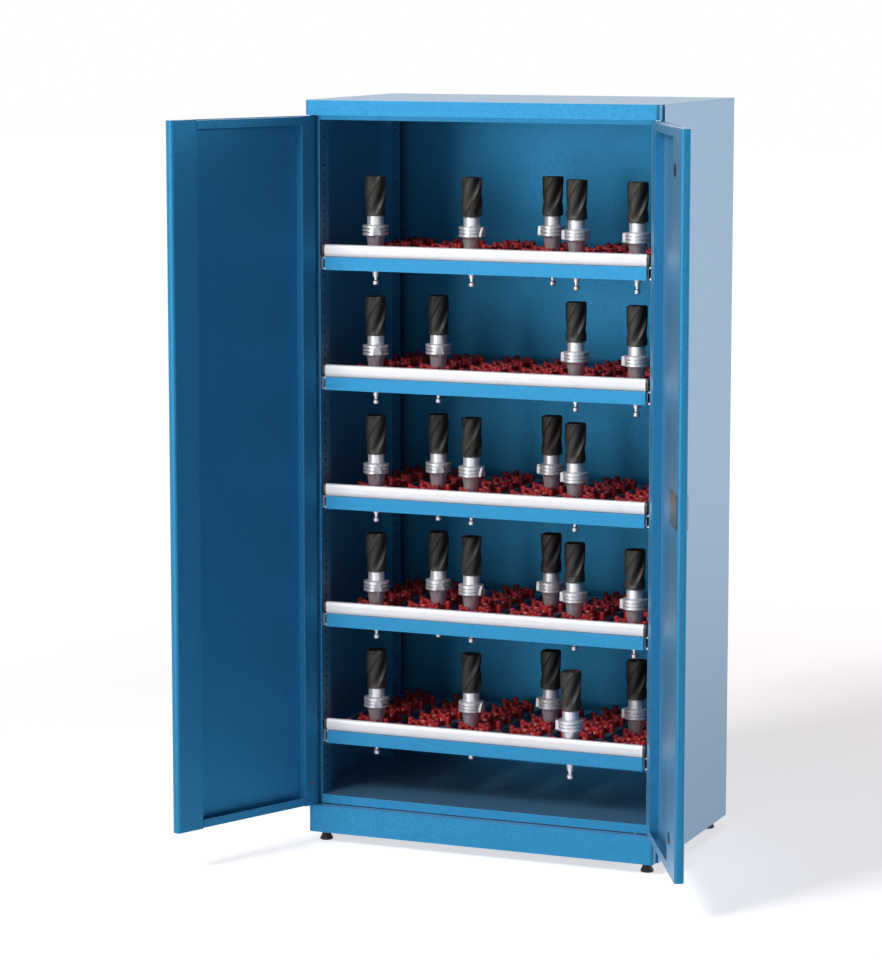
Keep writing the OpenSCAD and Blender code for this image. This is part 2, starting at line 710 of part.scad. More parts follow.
module stile_plugs() color(BLACK) in_frame() opened(1) for (z = plug_zs)
  translate([door_x(1, plug_u), door_thickness, z]) rotate([-90, 0, 0]) {
    cylinder(d = plug_d, h = plug_rise);
    translate([0, 0, -sheet - plug_depth]) cylinder(d = plug_hole_d, h = sheet + plug_depth);
  }

// Pull-outs: k counts from the top one down
module shelf_frame(k) color(BLUE) in_frame() {
  z1 = handle_z(k) - handle_height;
  z0 = z1 - front_height;
  inner = frame_x - sheet;
  block([-frame_x, frame_x], [front_y, front_y + sheet], [z0, z1]);
  block([-frame_x, frame_x], [front_y, handle_y + handle_depth], [z1 - sheet, z1]);
  block([-frame_x, frame_x], [front_y, front_y + front_ledge], [z0, z0 + sheet]);
  block([-frame_x, frame_x], [frame_y1 - sheet, frame_y1], [z0, z1]);
  block([-frame_x, frame_x], [frame_y1 - frame_flange, frame_y1], [z0, z0 + sheet]);
  for (s = [-1, 1]) {
    block([s * inner, s * frame_x], [front_y, frame_y1], [z0, z1]);
    block([s * (frame_x - frame_flange), s * frame_x], [front_y, frame_y1], [z0, z0 + sheet]);
  }
}

// Section of the handle profile: y runs back, z runs up
module handle_section(wall) {
  d = handle_depth;
  h = handle_height;
  r = handle_radius - wall;
  translate([handle_radius, wall]) square([d - handle_radius, h - 2 * wall]);
  translate([wall, handle_radius]) square([d - wall, h - 2 * handle_radius]);
  for (z = [handle_radius, h - handle_radius]) translate([handle_radius, z]) circle(r = r);
}

module along_x(x0, x1) translate([x0, 0, 0]) rotate([90, 0, 90]) linear_extrude(x1 - x0) children();

module shelf_handle(k) in_frame() translate([0, handle_y, handle_z(k) - handle_height]) {
  color(ALUMINIUM) along_x(-frame_x, frame_x) difference() {
    handle_section(0);
    intersection() {
      handle_section(handle_wall);
      square([handle_depth - handle_wall, handle_height]);
    }
  }
  color(BLACK) along_x(-cap_x, -frame_x) handle_section(0);
  color(BLACK) along_x(frame_x, cap_x) handle_section(0);
}

module shelf_carriers(k) color(DARK_BLUE) in_frame() for (m = [0 : carrier_count - 1]) {
  z1 = handle_z(k) - carrier_drop;
  z0 = handle_z(k) - handle_height - front_height + sheet;
  x0 = carrier_x(m) - carrier_width / 2;
  x1 = carrier_x(m) + carrier_width / 2;
  translate([0, 0, z1 - sheet]) linear_extrude(sheet) difference() {
    translate([x0, carrier_y0]) square([carrier_width, carrier_y1 - carrier_y0]);
    for (j = [0 : socket_count - 1]) translate([socket_x(m, j), socket_y(j)])
      circle(r = sleeve_d / 2 + sleeve_fit);
  }
  for (x = [x0, x1 - sheet]) block([x, x + sheet], [carrier_y0, carrier_y1], [z0, z1]);
}

// One socket: sleeve, ring and four lobes about the tool's cone; s is the side of its outer lobe
module socket(s, front_lobes) difference() {
  // The cone's radius at the carrier's top, and the ring's top above it
  seat_r = cone_d / 2 - cone_rate * (flange_rise + carrier_drop) + cone_fit;
  angles = front_lobes ? [0, lobe_angle, -lobe_angle, 180] : [0, lobe_angle, 180];
  union() {
    translate([0, 0, -sleeve_depth]) cylinder(d = sleeve_d, h = sleeve_depth + ring_height);
    cylinder(d = ring_d, h = ring_height);
    for (a = angles) translate([s * lobe_reach * cos(a), lobe_reach * sin(a), 0]) {
      cylinder(d = lobe_d, h = lobe_height - lobe_bevel);
      translate([0, 0, lobe_height - lobe_bevel])
        cylinder(d1 = lobe_d, d2 = lobe_d - 2 * lobe_bevel, h = lobe_bevel);
    }
  }
  translate([0, 0, -sleeve_depth - over]) cylinder(
    r1 = seat_r - cone_rate * (sleeve_depth + over), r2 = seat_r + cone_rate * (lobe_height + over),
    h = sleeve_depth + lobe_height + 2 * over);
}

module shelf_inserts(k) color(RED) in_frame() for (m = [0 : carrier_count - 1], j = [0 : socket_count - 1])
  translate([socket_x(m, j), socket_y(j), handle_z(k) - carrier_drop])
    socket(j % 2 == 0 ? 1 : -1, j > 0);

// Holder of a tool, turned about its axis; z = 0 is the lower face of its flange
module holder(turn) {
  r = flange_d / 2;
  low = -cone_length;
  head = low - stud_length;
  rotate_extrude() polygon([
    [0, head], [stud_d / 2 - stud_bevel, head], [stud_d / 2, head + stud_bevel],
    [stud_d / 2, head + stud_head], [stud_neck_d / 2, head + stud_head + stud_slope],
    [stud_neck_d / 2, low - stud_foot], [stud_d / 2, low - stud_foot], [stud_d / 2, low],
    [cone_end_d / 2, low], [cone_d / 2, 0], [r, 0], [r, (flange_height - groove_width) / 2],
    [r - groove_depth, (flange_height - groove_floor) / 2],
    [r - groove_depth, (flange_height + groove_floor) / 2], [r, (flange_height + groove_width) / 2],
    [r, flange_height], [chuck_d / 2, flange_height], [chuck_d / 2, flange_height + chuck_height],
    [0, flange_height + chuck_height]
  ]);
  rotate([0, 0, turn]) translate([r - groove_depth - over, -key_width / 2, (flange_height - key_height) / 2])
    cube([groove_depth + over + key_reach, key_width, key_height]);
}

module cutter() difference() {
  cylinder(d = cutter_d, h = cutter_length);
  for (i = [0 : flute_count - 1]) rotate([0, 0, i * 360 / flute_count])
    translate([cutter_d / 2 + flute_shift, 0, flute_d / 2]) {
      cylinder(d = flute_d, h = cutter_length);
      sphere(d = flute_d);
    }
}

module shelf_tools(k) in_frame() for (t = TOOLS[k - 1])
  translate([socket_x(t[0], t[1]), socket_y(t[1]), handle_z(k) + flange_rise]) {
    color(STEEL) holder(t[2]);
    color(BLACK) translate([0, 0, flange_height + chuck_height]) cutter();
  }

// Centre height of a pull-out's slides
function slide_z(k) = handle_z(k) - handle_height - front_height / 2;

// Channel that makes a slide member, open away from its web; x runs from the web inwards
module slide_member(s, web_x, lip_x, half_h, y0, length) {
  side = lip_x > web_x ? 1 : -1;
  block([s * web_x, s * (web_x + side * slide_sheet)], [y0, y0 + length], [-half_h, half_h]);
  for (z = [-half_h, half_h - slide_sheet])
    block([s * web_x, s * lip_x], [y0, y0 + length], [z, z + slide_sheet]);
}

mid_web_x = upright_x - slide_sheet - slide_play;
mid_half = slide_height / 2 - slide_sheet - slide_play;
inner_half = mid_half - slide_sheet - slide_play;
lip_x = frame_x + slide_sheet + lip_gap;

module slide_outers() color(ZINC) in_frame() for (s = [-1, 1], k = [1 : len(TOOLS)])
  translate([0, 0, slide_z(k)])
  slide_member(s, upright_x, lip_x, slide_height / 2, slide_y, slide_length);

module shelf_slide_mid(k) color(ZINC) in_frame() for (s = [-1, 1]) translate([0, 0, slide_z(k)])
  slide_member(s, mid_web_x, lip_x, mid_half, slide_y, mid_length);

module shelf_slide_inner(k) color(ZINC) in_frame() for (s = [-1, 1]) translate([0, 0, slide_z(k)])
  slide_member(s, frame_x, mid_web_x - slide_sheet - slide_play, inner_half, slide_y, slide_length);

module shelf_1_frame() shelf_frame(1);
module shelf_1_handle() shelf_handle(1);
module shelf_1_carriers() shelf_carriers(1);
module shelf_1_inserts() shelf_inserts(1);
module shelf_1_tools() shelf_tools(1);
module shelf_1_slide_inner() shelf_slide_inner(1);
module shelf_1_slide_mid() shelf_slide_mid(1);
module shelf_2_frame() shelf_frame(2);
module shelf_2_handle() shelf_handle(2);
module shelf_2_carriers() shelf_carriers(2);
module shelf_2_inserts() shelf_inserts(2);
module shelf_2_tools() shelf_tools(2);
module shelf_2_slide_inner() shelf_slide_inner(2);
module shelf_2_slide_mid() shelf_slide_mid(2);
module shelf_3_frame() shelf_frame(3);
module shelf_3_handle() shelf_handle(3);
module shelf_3_carriers() shelf_carriers(3);
module shelf_3_inserts() shelf_inserts(3);
module shelf_3_tools() shelf_tools(3);
module shelf_3_slide_inner() shelf_slide_inner(3);
module shelf_3_slide_mid() shelf_slide_mid(3);
module shelf_4_frame() shelf_frame(4);
module shelf_4_handle() shelf_handle(4);
module shelf_4_carriers() shelf_carriers(4);
module shelf_4_inserts() shelf_inserts(4);
module shelf_4_tools() shelf_tools(4);
module shelf_4_slide_inner() shelf_slide_inner(4);
module shelf_4_slide_mid() shelf_slide_mid(4);
module shelf_5_frame() shelf_frame(5);
module shelf_5_handle() shelf_handle(5);
module shelf_5_carriers() shelf_carriers(5);
module shelf_5_inserts() shelf_inserts(5);
module shelf_5_tools() shelf_tools(5);
module shelf_5_slide_inner() shelf_slide_inner(5);
module shelf_5_slide_mid() shelf_slide_mid(5);

side_panel_left();
side_panel_right();
back_panel();
top_cover();
door_stop_rail();
floor_panel();
plinth();
base_rails();
uprights();
foot_pads();
foot_screws();
slide_outers();
pivot_pins();
catch_magnets();
door_left_shell();
door_left_stiles();
door_right_shell();
door_right_stiles();
lock_case();
lock_cover();
rod_guides();
stile_plugs();
turn_knob();
rod_upper();
rod_lower();
shelf_1_frame();
shelf_1_handle();
shelf_1_carriers();
shelf_1_inserts();
shelf_1_tools();
shelf_1_slide_inner();
shelf_1_slide_mid();
shelf_2_frame();
shelf_2_handle();
shelf_2_carriers();
shelf_2_inserts();
shelf_2_tools();
shelf_2_slide_inner();
shelf_2_slide_mid();
shelf_3_frame();
shelf_3_handle();
shelf_3_carriers();
shelf_3_inserts();
shelf_3_tools();
shelf_3_slide_inner();
shelf_3_slide_mid();
shelf_4_frame();
shelf_4_handle();
shelf_4_carriers();
shelf_4_inserts();
shelf_4_tools();
shelf_4_slide_inner();
shelf_4_slide_mid();
shelf_5_frame();
shelf_5_handle();
shelf_5_carriers();
shelf_5_inserts();
shelf_5_tools();
shelf_5_slide_inner();
shelf_5_slide_mid();
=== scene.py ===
"""Looks of a steel tool cabinet with two doors and five pull-outs for machine tool holders.

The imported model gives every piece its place. This script dresses those pieces, and swaps the
ones whose real form is finer for detailed meshes: holders, cutters, socket crowns, handle
bars, feet and the turn knob. Lengths in the classes are millimetres, unless a docstring says
metres; the studio is in metres.
"""

import json
import logging
import math
from dataclasses import dataclass, field
from enum import Enum

import bpy
import numpy as np
from mathutils import Matrix, Vector


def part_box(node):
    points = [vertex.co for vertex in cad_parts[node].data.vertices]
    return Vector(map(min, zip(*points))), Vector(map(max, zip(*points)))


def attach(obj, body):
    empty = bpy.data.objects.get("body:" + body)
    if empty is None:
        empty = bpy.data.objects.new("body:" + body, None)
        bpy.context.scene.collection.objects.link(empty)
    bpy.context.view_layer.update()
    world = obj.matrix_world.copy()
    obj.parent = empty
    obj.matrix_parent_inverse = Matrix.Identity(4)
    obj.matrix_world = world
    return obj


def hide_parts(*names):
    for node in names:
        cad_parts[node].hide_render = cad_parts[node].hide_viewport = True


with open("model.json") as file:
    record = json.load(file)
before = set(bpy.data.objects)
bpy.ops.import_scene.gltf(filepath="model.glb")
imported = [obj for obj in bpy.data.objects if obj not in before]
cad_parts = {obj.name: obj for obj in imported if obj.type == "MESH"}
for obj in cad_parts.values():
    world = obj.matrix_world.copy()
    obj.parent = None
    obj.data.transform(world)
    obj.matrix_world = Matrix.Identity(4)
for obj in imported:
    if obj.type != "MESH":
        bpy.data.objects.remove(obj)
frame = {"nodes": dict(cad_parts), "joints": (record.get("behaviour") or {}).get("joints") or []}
LOG = logging.getLogger("tool_cabinet")
MM = 0.001
PULLOUTS = 5
Colour = tuple[float, float, float]
Point = tuple[float, float]


class Finish(Enum):
    """Finishes of the cabinet and of what stands in it."""

    BLUE = "powder_coat"
    # Painted shade: the cabinet's blue made darker for the carriers and base rails, which stand in shade.
    SHADED_BLUE = "powder_coat_dark"
    ZINC = "zinc_steel"
    GROUND_STEEL = "tool_steel"
    ALUMINIUM = "anodised_aluminium"
    RED = "red_plastic"
    BLACK = "black_plastic"
    RUBBER = "black_rubber"
    BRONZE = "bronze_plate"
    CUTTER = "cutter_coating"
    PLATE = "chip_plate"
    PLUG = "plug_brown"


# ---------------------------------------------------------------- node helpers


class Nodes:
    """Short ways to fill a shader node tree."""

    def __init__(self, tree: bpy.types.NodeTree) -> None:
        """Takes the tree that the nodes go into.

        Args:
            tree: node tree of a material, a world or a group.
        """
        self.tree = tree

    def add(self, kind: str, **settings: object) -> bpy.types.Node:
        """Adds a node.

        Args:
            kind: type name of the node.
            settings: attributes to set on it.

        Returns:
            The new node.
        """
        node = self.tree.nodes.new(kind)
        for key, value in settings.items():
            setattr(node, key, value)
        return node

    def link(self, out: bpy.types.NodeSocket, into: bpy.types.NodeSocket) -> None:
        """Joins an output to an input."""
        self.tree.links.new(out, into)

    def noise(self, scale: object, detail: float = 3.0, where: object = None) -> bpy.types.Node:
        """Adds a noise texture in object coordinates.

        Args:
            scale: cells per metre, or a socket that gives it.
            detail: number of finer octaves.
            where: socket of the coordinates; object coordinates when left out.

        Returns:
            The noise node.
        """
        node = self.add("ShaderNodeTexNoise")
        node.inputs["Detail"].default_value = detail
        if where is None:
            where = self.add("ShaderNodeTexCoord").outputs["Object"]
        self.link(where, node.inputs["Vector"])
        if isinstance(scale, (int, float)):
            node.inputs["Scale"].default_value = scale
        else:
            self.link(scale, node.inputs["Scale"])
        return node

    def math(self, operation: str, one: object, two: object = None) -> bpy.types.NodeSocket:
        """Adds a math node.

        Args:
            operation: name of the operation.
            one: first value or socket.
            two: second value or socket, where the operation takes one.

        Returns:
            The result's socket.
        """
        node = self.add("ShaderNodeMath", operation=operation)
        for socket, value in zip(node.inputs, (one, two)):
            if isinstance(value, (int, float)):
                socket.default_value = value
            elif value is not None:
                self.link(value, socket)
        return node.outputs[0]

    def remap(self, value: bpy.types.NodeSocket, old: Point, new: tuple) -> bpy.types.NodeSocket:
        """Maps a value from one range to another.

        Args:
            value: socket to map.
            old: its lowest and highest value.
            new: what those become; each a number or a socket.

        Returns:
            The mapped value's socket.
        """
        node = self.add("ShaderNodeMapRange")
        self.link(value, node.inputs["Value"])
        node.inputs["From Min"].default_value, node.inputs["From Max"].default_value = old
        for name, end in zip(("To Min", "To Max"), new):
            if isinstance(end, (int, float)):
                node.inputs[name].default_value = end
            else:
                self.link(end, node.inputs[name])
        return node.outputs["Result"]

    def blend(self, factor: object, one: object, two: object) -> bpy.types.NodeSocket:
        """Mixes two colours.

        Args:
            factor: share of the second colour, a number or a socket.
            one: first colour or socket.
            two: second colour or socket.

        Returns:
            The mixed colour's socket.
        """
        node = self.add("ShaderNodeMix", data_type="RGBA")
        for index, value in ((0, factor), (6, one), (7, two)):
            if isinstance(value, (int, float)):
                node.inputs[index].default_value = value
            elif isinstance(value, tuple):
                node.inputs[index].default_value = (*value, 1.0)
            else:
                self.link(value, node.inputs[index])
        return node.outputs[2]


class Effects:
    """Shader node groups that several finishes share."""

    def __init__(self) -> None:
        """Builds every group once."""
        self.drift = self._drift()
        self.peel = self._peel()
        self.wear = self._wear()
        self.dust = self._dust()
        self.brushing = self._brushing()

    @staticmethod
    def _start(name: str, inputs: dict[str, float], output: str, kind: str) -> tuple:
        """Starts a group with float inputs and one output.

        Args:
            name: the group's name.
            inputs: default of each float input.
            output: name of the output.
            kind: socket type of the output.

        Returns:
            The tree, its helper, its input node and its output node.
        """
        tree = bpy.data.node_groups.new(name, "ShaderNodeTree")
        for label, value in inputs.items():
            socket = tree.interface.new_socket(name=label, in_out="INPUT", socket_type="NodeSocketFloat")
            socket.default_value = value
        tree.interface.new_socket(name=output, in_out="OUTPUT", socket_type=kind)
        helper = Nodes(tree)
        return tree, helper, helper.add("NodeGroupInput"), helper.add("NodeGroupOutput")

    def _drift(self) -> bpy.types.NodeTree:
        """Slow clouds that shift a colour from place to place.

        Returns:
            The group; it puts out a mask.
        """
        tree, n, start, end = self._start(
            "slow_drift", {"Scale": 3.0, "Amount": 0.5}, "Mask", "NodeSocketFloat")
        clouds = n.noise(start.outputs["Scale"], detail=4.0)
        mask = n.remap(clouds.outputs["Fac"], (0.35, 0.65), (0.0, start.outputs["Amount"]))
        n.link(mask, end.inputs["Mask"])
        return tree

    def _peel(self) -> bpy.types.NodeTree:
        """Fine dimples of sprayed and baked paint, or of moulded plastic.

        Returns:
            The group; it puts out a height.
        """
        tree, n, start, end = self._start(
            "orange_peel", {"Scale": 420.0, "Grain": 0.35}, "Height", "NodeSocketFloat")
        broad = n.noise(start.outputs["Scale"], detail=2.0)
        fine_scale = n.math("MULTIPLY", start.outputs["Scale"], 4.7)
        fine = n.noise(fine_scale, detail=1.0)
        grain = n.math("MULTIPLY", fine.outputs["Fac"], start.outputs["Grain"])
        n.link(n.math("ADD", broad.outputs["Fac"], grain), end.inputs["Height"])
        return tree

    def _wear(self) -> bpy.types.NodeTree:
        """Rubbed edges, found where a rounded normal leaves the true one, broken up by noise.

        Returns:
            The group; it puts out a mask.
        """
        tree, n, start, end = self._start(
            "edge_wear", {"Radius": 0.0015, "Amount": 0.6, "Breakup": 60.0}, "Mask", "NodeSocketFloat")
        rounded = n.add("ShaderNodeBevel", samples=4)
        n.link(start.outputs["Radius"], rounded.inputs["Radius"])
        normal = n.add("ShaderNodeNewGeometry").outputs["Normal"]
        dot = n.add("ShaderNodeVectorMath", operation="DOT_PRODUCT")
        n.link(rounded.outputs["Normal"], dot.inputs[0])
        n.link(normal, dot.inputs[1])
        edge = n.remap(dot.outputs["Value"], (0.995, 0.86), (0.0, 1.0))
        chips = n.noise(start.outputs["Breakup"], detail=5.0)
        broken = n.remap(chips.outputs["Fac"], (0.38, 0.66), (0.15, 1.0))
        both = n.math("MULTIPLY", edge, broken)
        n.link(n.math("MULTIPLY", both, start.outputs["Amount"]), end.inputs["Mask"])
        return tree

    def _dust(self) -> bpy.types.NodeTree:
        """Thin settled dust on faces that look up.

        Returns:
            The group; it puts out a mask.
        """
        tree, n, start, end = self._start(
            "settled_dust", {"Amount": 0.2, "Scale": 14.0}, "Mask", "NodeSocketFloat")
        split = n.add("ShaderNodeSeparateXYZ")
        n.link(n.add("ShaderNodeNewGeometry").outputs["Normal"], split.inputs[0])
        level = n.remap(split.outputs["Z"], (0.55, 1.0), (0.0, 1.0))
        patches = n.noise(start.outputs["Scale"], detail=6.0)
        uneven = n.remap(patches.outputs["Fac"], (0.3, 0.7), (0.35, 1.0))
        patchy = n.math("MULTIPLY", level, uneven)
        n.link(n.math("MULTIPLY", patchy, start.outputs["Amount"]), end.inputs["Mask"])
        return tree

    def _brushing(self) -> bpy.types.NodeTree:
        """Fine lines left by grinding or drawing, drawn out along one axis.

        Returns:
            The group; it puts out a height that also serves as a roughness mask.
        """
        stretches = {"Along X": 6.0, "Along Y": 900.0, "Along Z": 900.0}
        tree, n, start, end = self._start("brushed_lines", stretches, "Lines", "NodeSocketFloat")
        stretch = n.add("ShaderNodeCombineXYZ")
        for axis in "XYZ":
            n.link(start.outputs[f"Along {axis}"], stretch.inputs[axis])
        scaled = n.add("ShaderNodeVectorMath", operation="MULTIPLY")
        n.link(n.add("ShaderNodeTexCoord").outputs["Object"], scaled.inputs[0])
        n.link(stretch.outputs[0], scaled.inputs[1])
        n.link(n.noise(1.0, detail=3.0, where=scaled.outputs[0]).outputs["Fac"], end.inputs["Lines"])
        return tree


class Dressing:
    """One material in the making: a Principled shader and the nodes that feed it."""

    def __init__(self, name: str) -> None:
        """Starts an empty material.

        Args:
            name: the material's name.
        """
        self.material = bpy.data.materials.new(name)
        self.material.use_nodes = True
        self.nodes = Nodes(self.material.node_tree)
        self.shader = self.material.node_tree.nodes["Principled BSDF"]

    def set(self, **values: float) -> None:
        """Sets constants on the shader's own sockets; underscores stand for spaces."""
        for key, value in values.items():
            self.shader.inputs[key.replace("_", " ")].default_value = value

    def effect(self, tree: bpy.types.NodeTree, **values: float) -> bpy.types.NodeSocket:
        """Places a shared effect with its own values.

        Args:
            tree: the effect's node group.
            values: values of its inputs; underscores stand for spaces.

        Returns:
            The group's output.
        """
        node = self.nodes.add("ShaderNodeGroup", node_tree=tree)
        for key, value in values.items():
            node.inputs[key.replace("_", " ")].default_value = value
        return node.outputs[0]

    def feed(self, name: str, source: bpy.types.NodeSocket) -> None:
        """Links a source to one of the shader's inputs."""
        self.nodes.link(source, self.shader.inputs[name])

    def relief(self, height: bpy.types.NodeSocket, depth_mm: float, strength: float) -> None:
        """Feeds the shader's normal from a height.

        Args:
            height: socket of the height.
            depth_mm: how deep a height of one is.
            strength: share of the effect.
        """
        bump = self.nodes.add("ShaderNodeBump")
        bump.inputs["Strength"].default_value = strength
        bump.inputs["Distance"].default_value = depth_mm * MM
        self.nodes.link(height, bump.inputs["Height"])
        self.feed("Normal", bump.outputs["Normal"])


@dataclass(frozen=True)
class PowderCoat:
    """Baked powder paint on sheet steel, glossier where it is seen at a low angle."""

    colour: Colour
    shade: Colour
    worn: Colour = (0.16, 0.44, 0.68)
    roughness: float = 0.46
    metallic: float = 0.5
    peel_mm: float = 0.05
    wear: float = 0.5
    dust: float = 0.14
    dust_colour: Colour = (0.42, 0.44, 0.47)

    def build(self, name: str, effects: Effects) -> bpy.types.Material:
        """Makes the material.

        Args:
            name: the material's name.
            effects: the shared groups.

        Returns:
            The material.
        """
        d = Dressing(name)
        n = d.nodes
        drift = d.effect(effects.drift, Scale=2.4, Amount=0.35)
        speckle = d.effect(effects.drift, Scale=150.0, Amount=0.65)
        wear = d.effect(effects.wear, Amount=self.wear)
        dust = d.effect(effects.dust, Amount=self.dust)
        facing = n.add("ShaderNodeLayerWeight")
        facing.inputs["Blend"].default_value = 0.5
        tone = n.blend(n.math("MAXIMUM", drift, speckle), self.colour, self.shade)
        rubbed = n.blend(wear, tone, self.worn)
        d.feed("Base Color", n.blend(dust, rubbed, self.dust_colour))
        peel = d.effect(effects.peel, Scale=360.0, Grain=0.5)
        rough = n.remap(peel, (0.4, 1.0), (self.roughness - 0.05, self.roughness + 0.07))
        d.feed("Roughness", n.math("ADD", rough, n.math("MULTIPLY", dust, 0.5)))
        d.feed("Coat Weight", n.remap(facing.outputs["Facing"], (0.42, 0.64), (0.0, 1.0)))
        d.set(Coat_Roughness=0.45, Coat_IOR=2.6, IOR=1.3, Specular_IOR_Level=0.2, Metallic=self.metallic)
        d.relief(peel, self.peel_mm, 0.35)
        return d.material


@dataclass(frozen=True)
class Metal:
    """Bare or plated metal with drawn lines and slow tone changes."""

    colour: Colour
    shade: Colour
    roughness: float
    lines: tuple[float, float, float] = (6.0, 900.0, 900.0)
    line_mm: float = 0.01
    dust: float = 0.08
    dust_colour: Colour = (0.4, 0.4, 0.4)
    metallic: float = 1.0

    def build(self, name: str, effects: Effects) -> bpy.types.Material:
        """Makes the material.

        Args:
            name: the material's name.
            effects: the shared groups.

        Returns:
            The material.
        """
        d = Dressing(name)
        n = d.nodes
        drift = d.effect(effects.drift, Scale=22.0, Amount=0.8)
        dust = d.effect(effects.dust, Amount=self.dust, Scale=40.0)
        tone = n.blend(drift, self.colour, self.shade)
        d.feed("Base Color", n.blend(dust, tone, self.dust_colour))
        x, y, z = self.lines
        lines = d.effect(effects.brushing, Along_X=x, Along_Y=y, Along_Z=z)
        spread = n.remap(lines, (0.3, 0.7), (self.roughness - 0.06, self.roughness + 0.08))
        d.feed("Roughness", n.math("ADD", spread, n.math("MULTIPLY", dust, 0.6)))
        d.set(Metallic=self.metallic)
        d.relief(lines, self.line_mm, 0.25)
        return d.material


@dataclass(frozen=True)
class Moulding:
    """Moulded plastic or rubber with a fine grain and pale scuffs on its edges."""

    colour: Colour
    shade: Colour
    scuffed: Colour
    roughness: float
    grain_mm: float = 0.06
    wear: float = 0.5
    dust: float = 0.12
    dust_colour: Colour = (0.35, 0.34, 0.33)

    def build(self, name: str, effects: Effects) -> bpy.types.Material:
        """Makes the material.

        Args:
            name: the material's name.
            effects: the shared groups.

        Returns:
            The material.
        """
        d = Dressing(name)
        n = d.nodes
        drift = d.effect(effects.drift, Scale=30.0, Amount=0.9)
        wear = d.effect(effects.wear, Radius=0.001, Amount=self.wear, Breakup=140.0)
        dust = d.effect(effects.dust, Amount=self.dust, Scale=60.0)
        tone = n.blend(drift, self.colour, self.shade)
        scuffed = n.blend(wear, tone, self.scuffed)
        d.feed("Base Color", n.blend(dust, scuffed, self.dust_colour))
        grain = d.effect(effects.peel, Scale=1400.0, Grain=0.8)
        rough = n.remap(grain, (0.4, 1.2), (self.roughness - 0.06, self.roughness + 0.1))
        d.feed("Roughness", rough)
        d.relief(grain, self.grain_mm, 0.4)
        return d.material


RECIPES: dict[Finish, object] = {
    Finish.BLUE: PowderCoat((0.034, 0.250, 0.465), (0.024, 0.186, 0.362)),
    # Painted shade: the same blue paint made darker, for the carriers and base rails that stand in shade.
    Finish.SHADED_BLUE: PowderCoat((0.012, 0.075, 0.17), (0.01, 0.062, 0.15), worn=(0.08, 0.2, 0.34)),
    Finish.ZINC: Metal((0.68, 0.69, 0.71), (0.55, 0.57, 0.60), roughness=0.32),
    Finish.GROUND_STEEL: Metal((0.78, 0.77, 0.79), (0.68, 0.68, 0.70), roughness=0.34,
                               lines=(4, 4, 1500), metallic=0.6),
    Finish.ALUMINIUM: Metal((0.73, 0.73, 0.75), (0.69, 0.69, 0.71), roughness=0.45, metallic=0.2),
    Finish.RED: Moulding((0.46, 0.015, 0.019), (0.32, 0.011, 0.015), (0.75, 0.12, 0.1), roughness=0.42),
    Finish.BLACK: Moulding((0.018, 0.018, 0.019), (0.012, 0.012, 0.013), (0.09, 0.09, 0.09), roughness=0.4),
    Finish.RUBBER: Moulding((0.02, 0.019, 0.018), (0.013, 0.012, 0.012), (0.08, 0.08, 0.08), roughness=0.6),
    Finish.BRONZE: PowderCoat((0.045, 0.040, 0.036), (0.036, 0.032, 0.029), worn=(0.2, 0.17, 0.14)),
    Finish.CUTTER: Metal((0.034, 0.031, 0.026), (0.020, 0.018, 0.015), roughness=0.55, lines=(9, 9, 60),
                         metallic=0.3, dust=0.03),
    Finish.PLATE: Metal((0.60, 0.60, 0.62), (0.5, 0.5, 0.53), roughness=0.45, dust=0.04, metallic=0.5),
    Finish.PLUG: Moulding((0.16, 0.035, 0.02), (0.11, 0.025, 0.015), (0.3, 0.12, 0.08), roughness=0.5),
}


class Paintbox:
    """Holds one material of each finish."""

    def __init__(self) -> None:
        """Builds the shared effects and then every finish."""
        effects = Effects()
        self.materials = {key: RECIPES[key].build(key.value, effects) for key in Finish}

    def dress(self, piece: bpy.types.Object, finish: Finish) -> None:
        """Gives a piece one finish in all its slots."""
        if not piece.material_slots:
            piece.data.materials.append(self.materials[finish])
        for place in piece.material_slots:
            place.link = "OBJECT"
            place.material = self.materials[finish]


# ---------------------------------------------------------------- mesh helpers


class Shape:
    """A mesh in the making, in metres."""

    def __init__(self) -> None:
        """Starts with no points."""
        self.points = np.zeros((0, 3))
        self.faces: list[tuple[int, ...]] = []

    def join(self, points: np.ndarray, faces: list[tuple[int, ...]]) -> "Shape":
        """Adds points and the faces between them.

        Args:
            points: rows of x, y, z.
            faces: point numbers, counted from the first of these points.

        Returns:
            This shape.
        """
        first = len(self.points)
        self.points = np.vstack([self.points, points])
        self.faces += [tuple(first + i for i in face) for face in faces]
        return self

    def merge(self, other: "Shape", place: Matrix = Matrix.Identity(4)) -> "Shape":
        """Adds a placed copy of another shape.

        Args:
            other: shape to copy.
            place: where the copy goes.

        Returns:
            This shape.
        """
        m = np.array(place)
        return self.join(other.points @ m[:3, :3].T + m[:3, 3], other.faces)

    def to_object(self, name: str, sharp_deg: float = 32.0) -> bpy.types.Object:
        """Makes a Blender object with smooth faces between its sharp edges.

        Args:
            name: the object's and mesh's name.
            sharp_deg: angle above which an edge stays sharp.

        Returns:
            The object.
        """
        return mesh_object(name, self.to_mesh(name, sharp_deg))

    def to_mesh(self, name: str, sharp_deg: float = 32.0) -> bpy.types.Mesh:
        """Makes the Blender mesh; the arguments are as in to_object."""
        mesh = bpy.data.meshes.new(name)
        mesh.from_pydata(self.points.tolist(), [], self.faces)
        mesh.validate()
        mesh.shade_smooth()
        mesh.set_sharp_from_angle(angle=math.radians(sharp_deg))
        return mesh


def mesh_object(name: str, mesh: bpy.types.Mesh) -> bpy.types.Object:
    """Puts a mesh into the scene.

    Args:
        name: the object's name.
        mesh: its mesh.

    Returns:
        The object.
    """
    made = bpy.data.objects.new(name, mesh)
    bpy.context.scene.collection.objects.link(made)
    return made


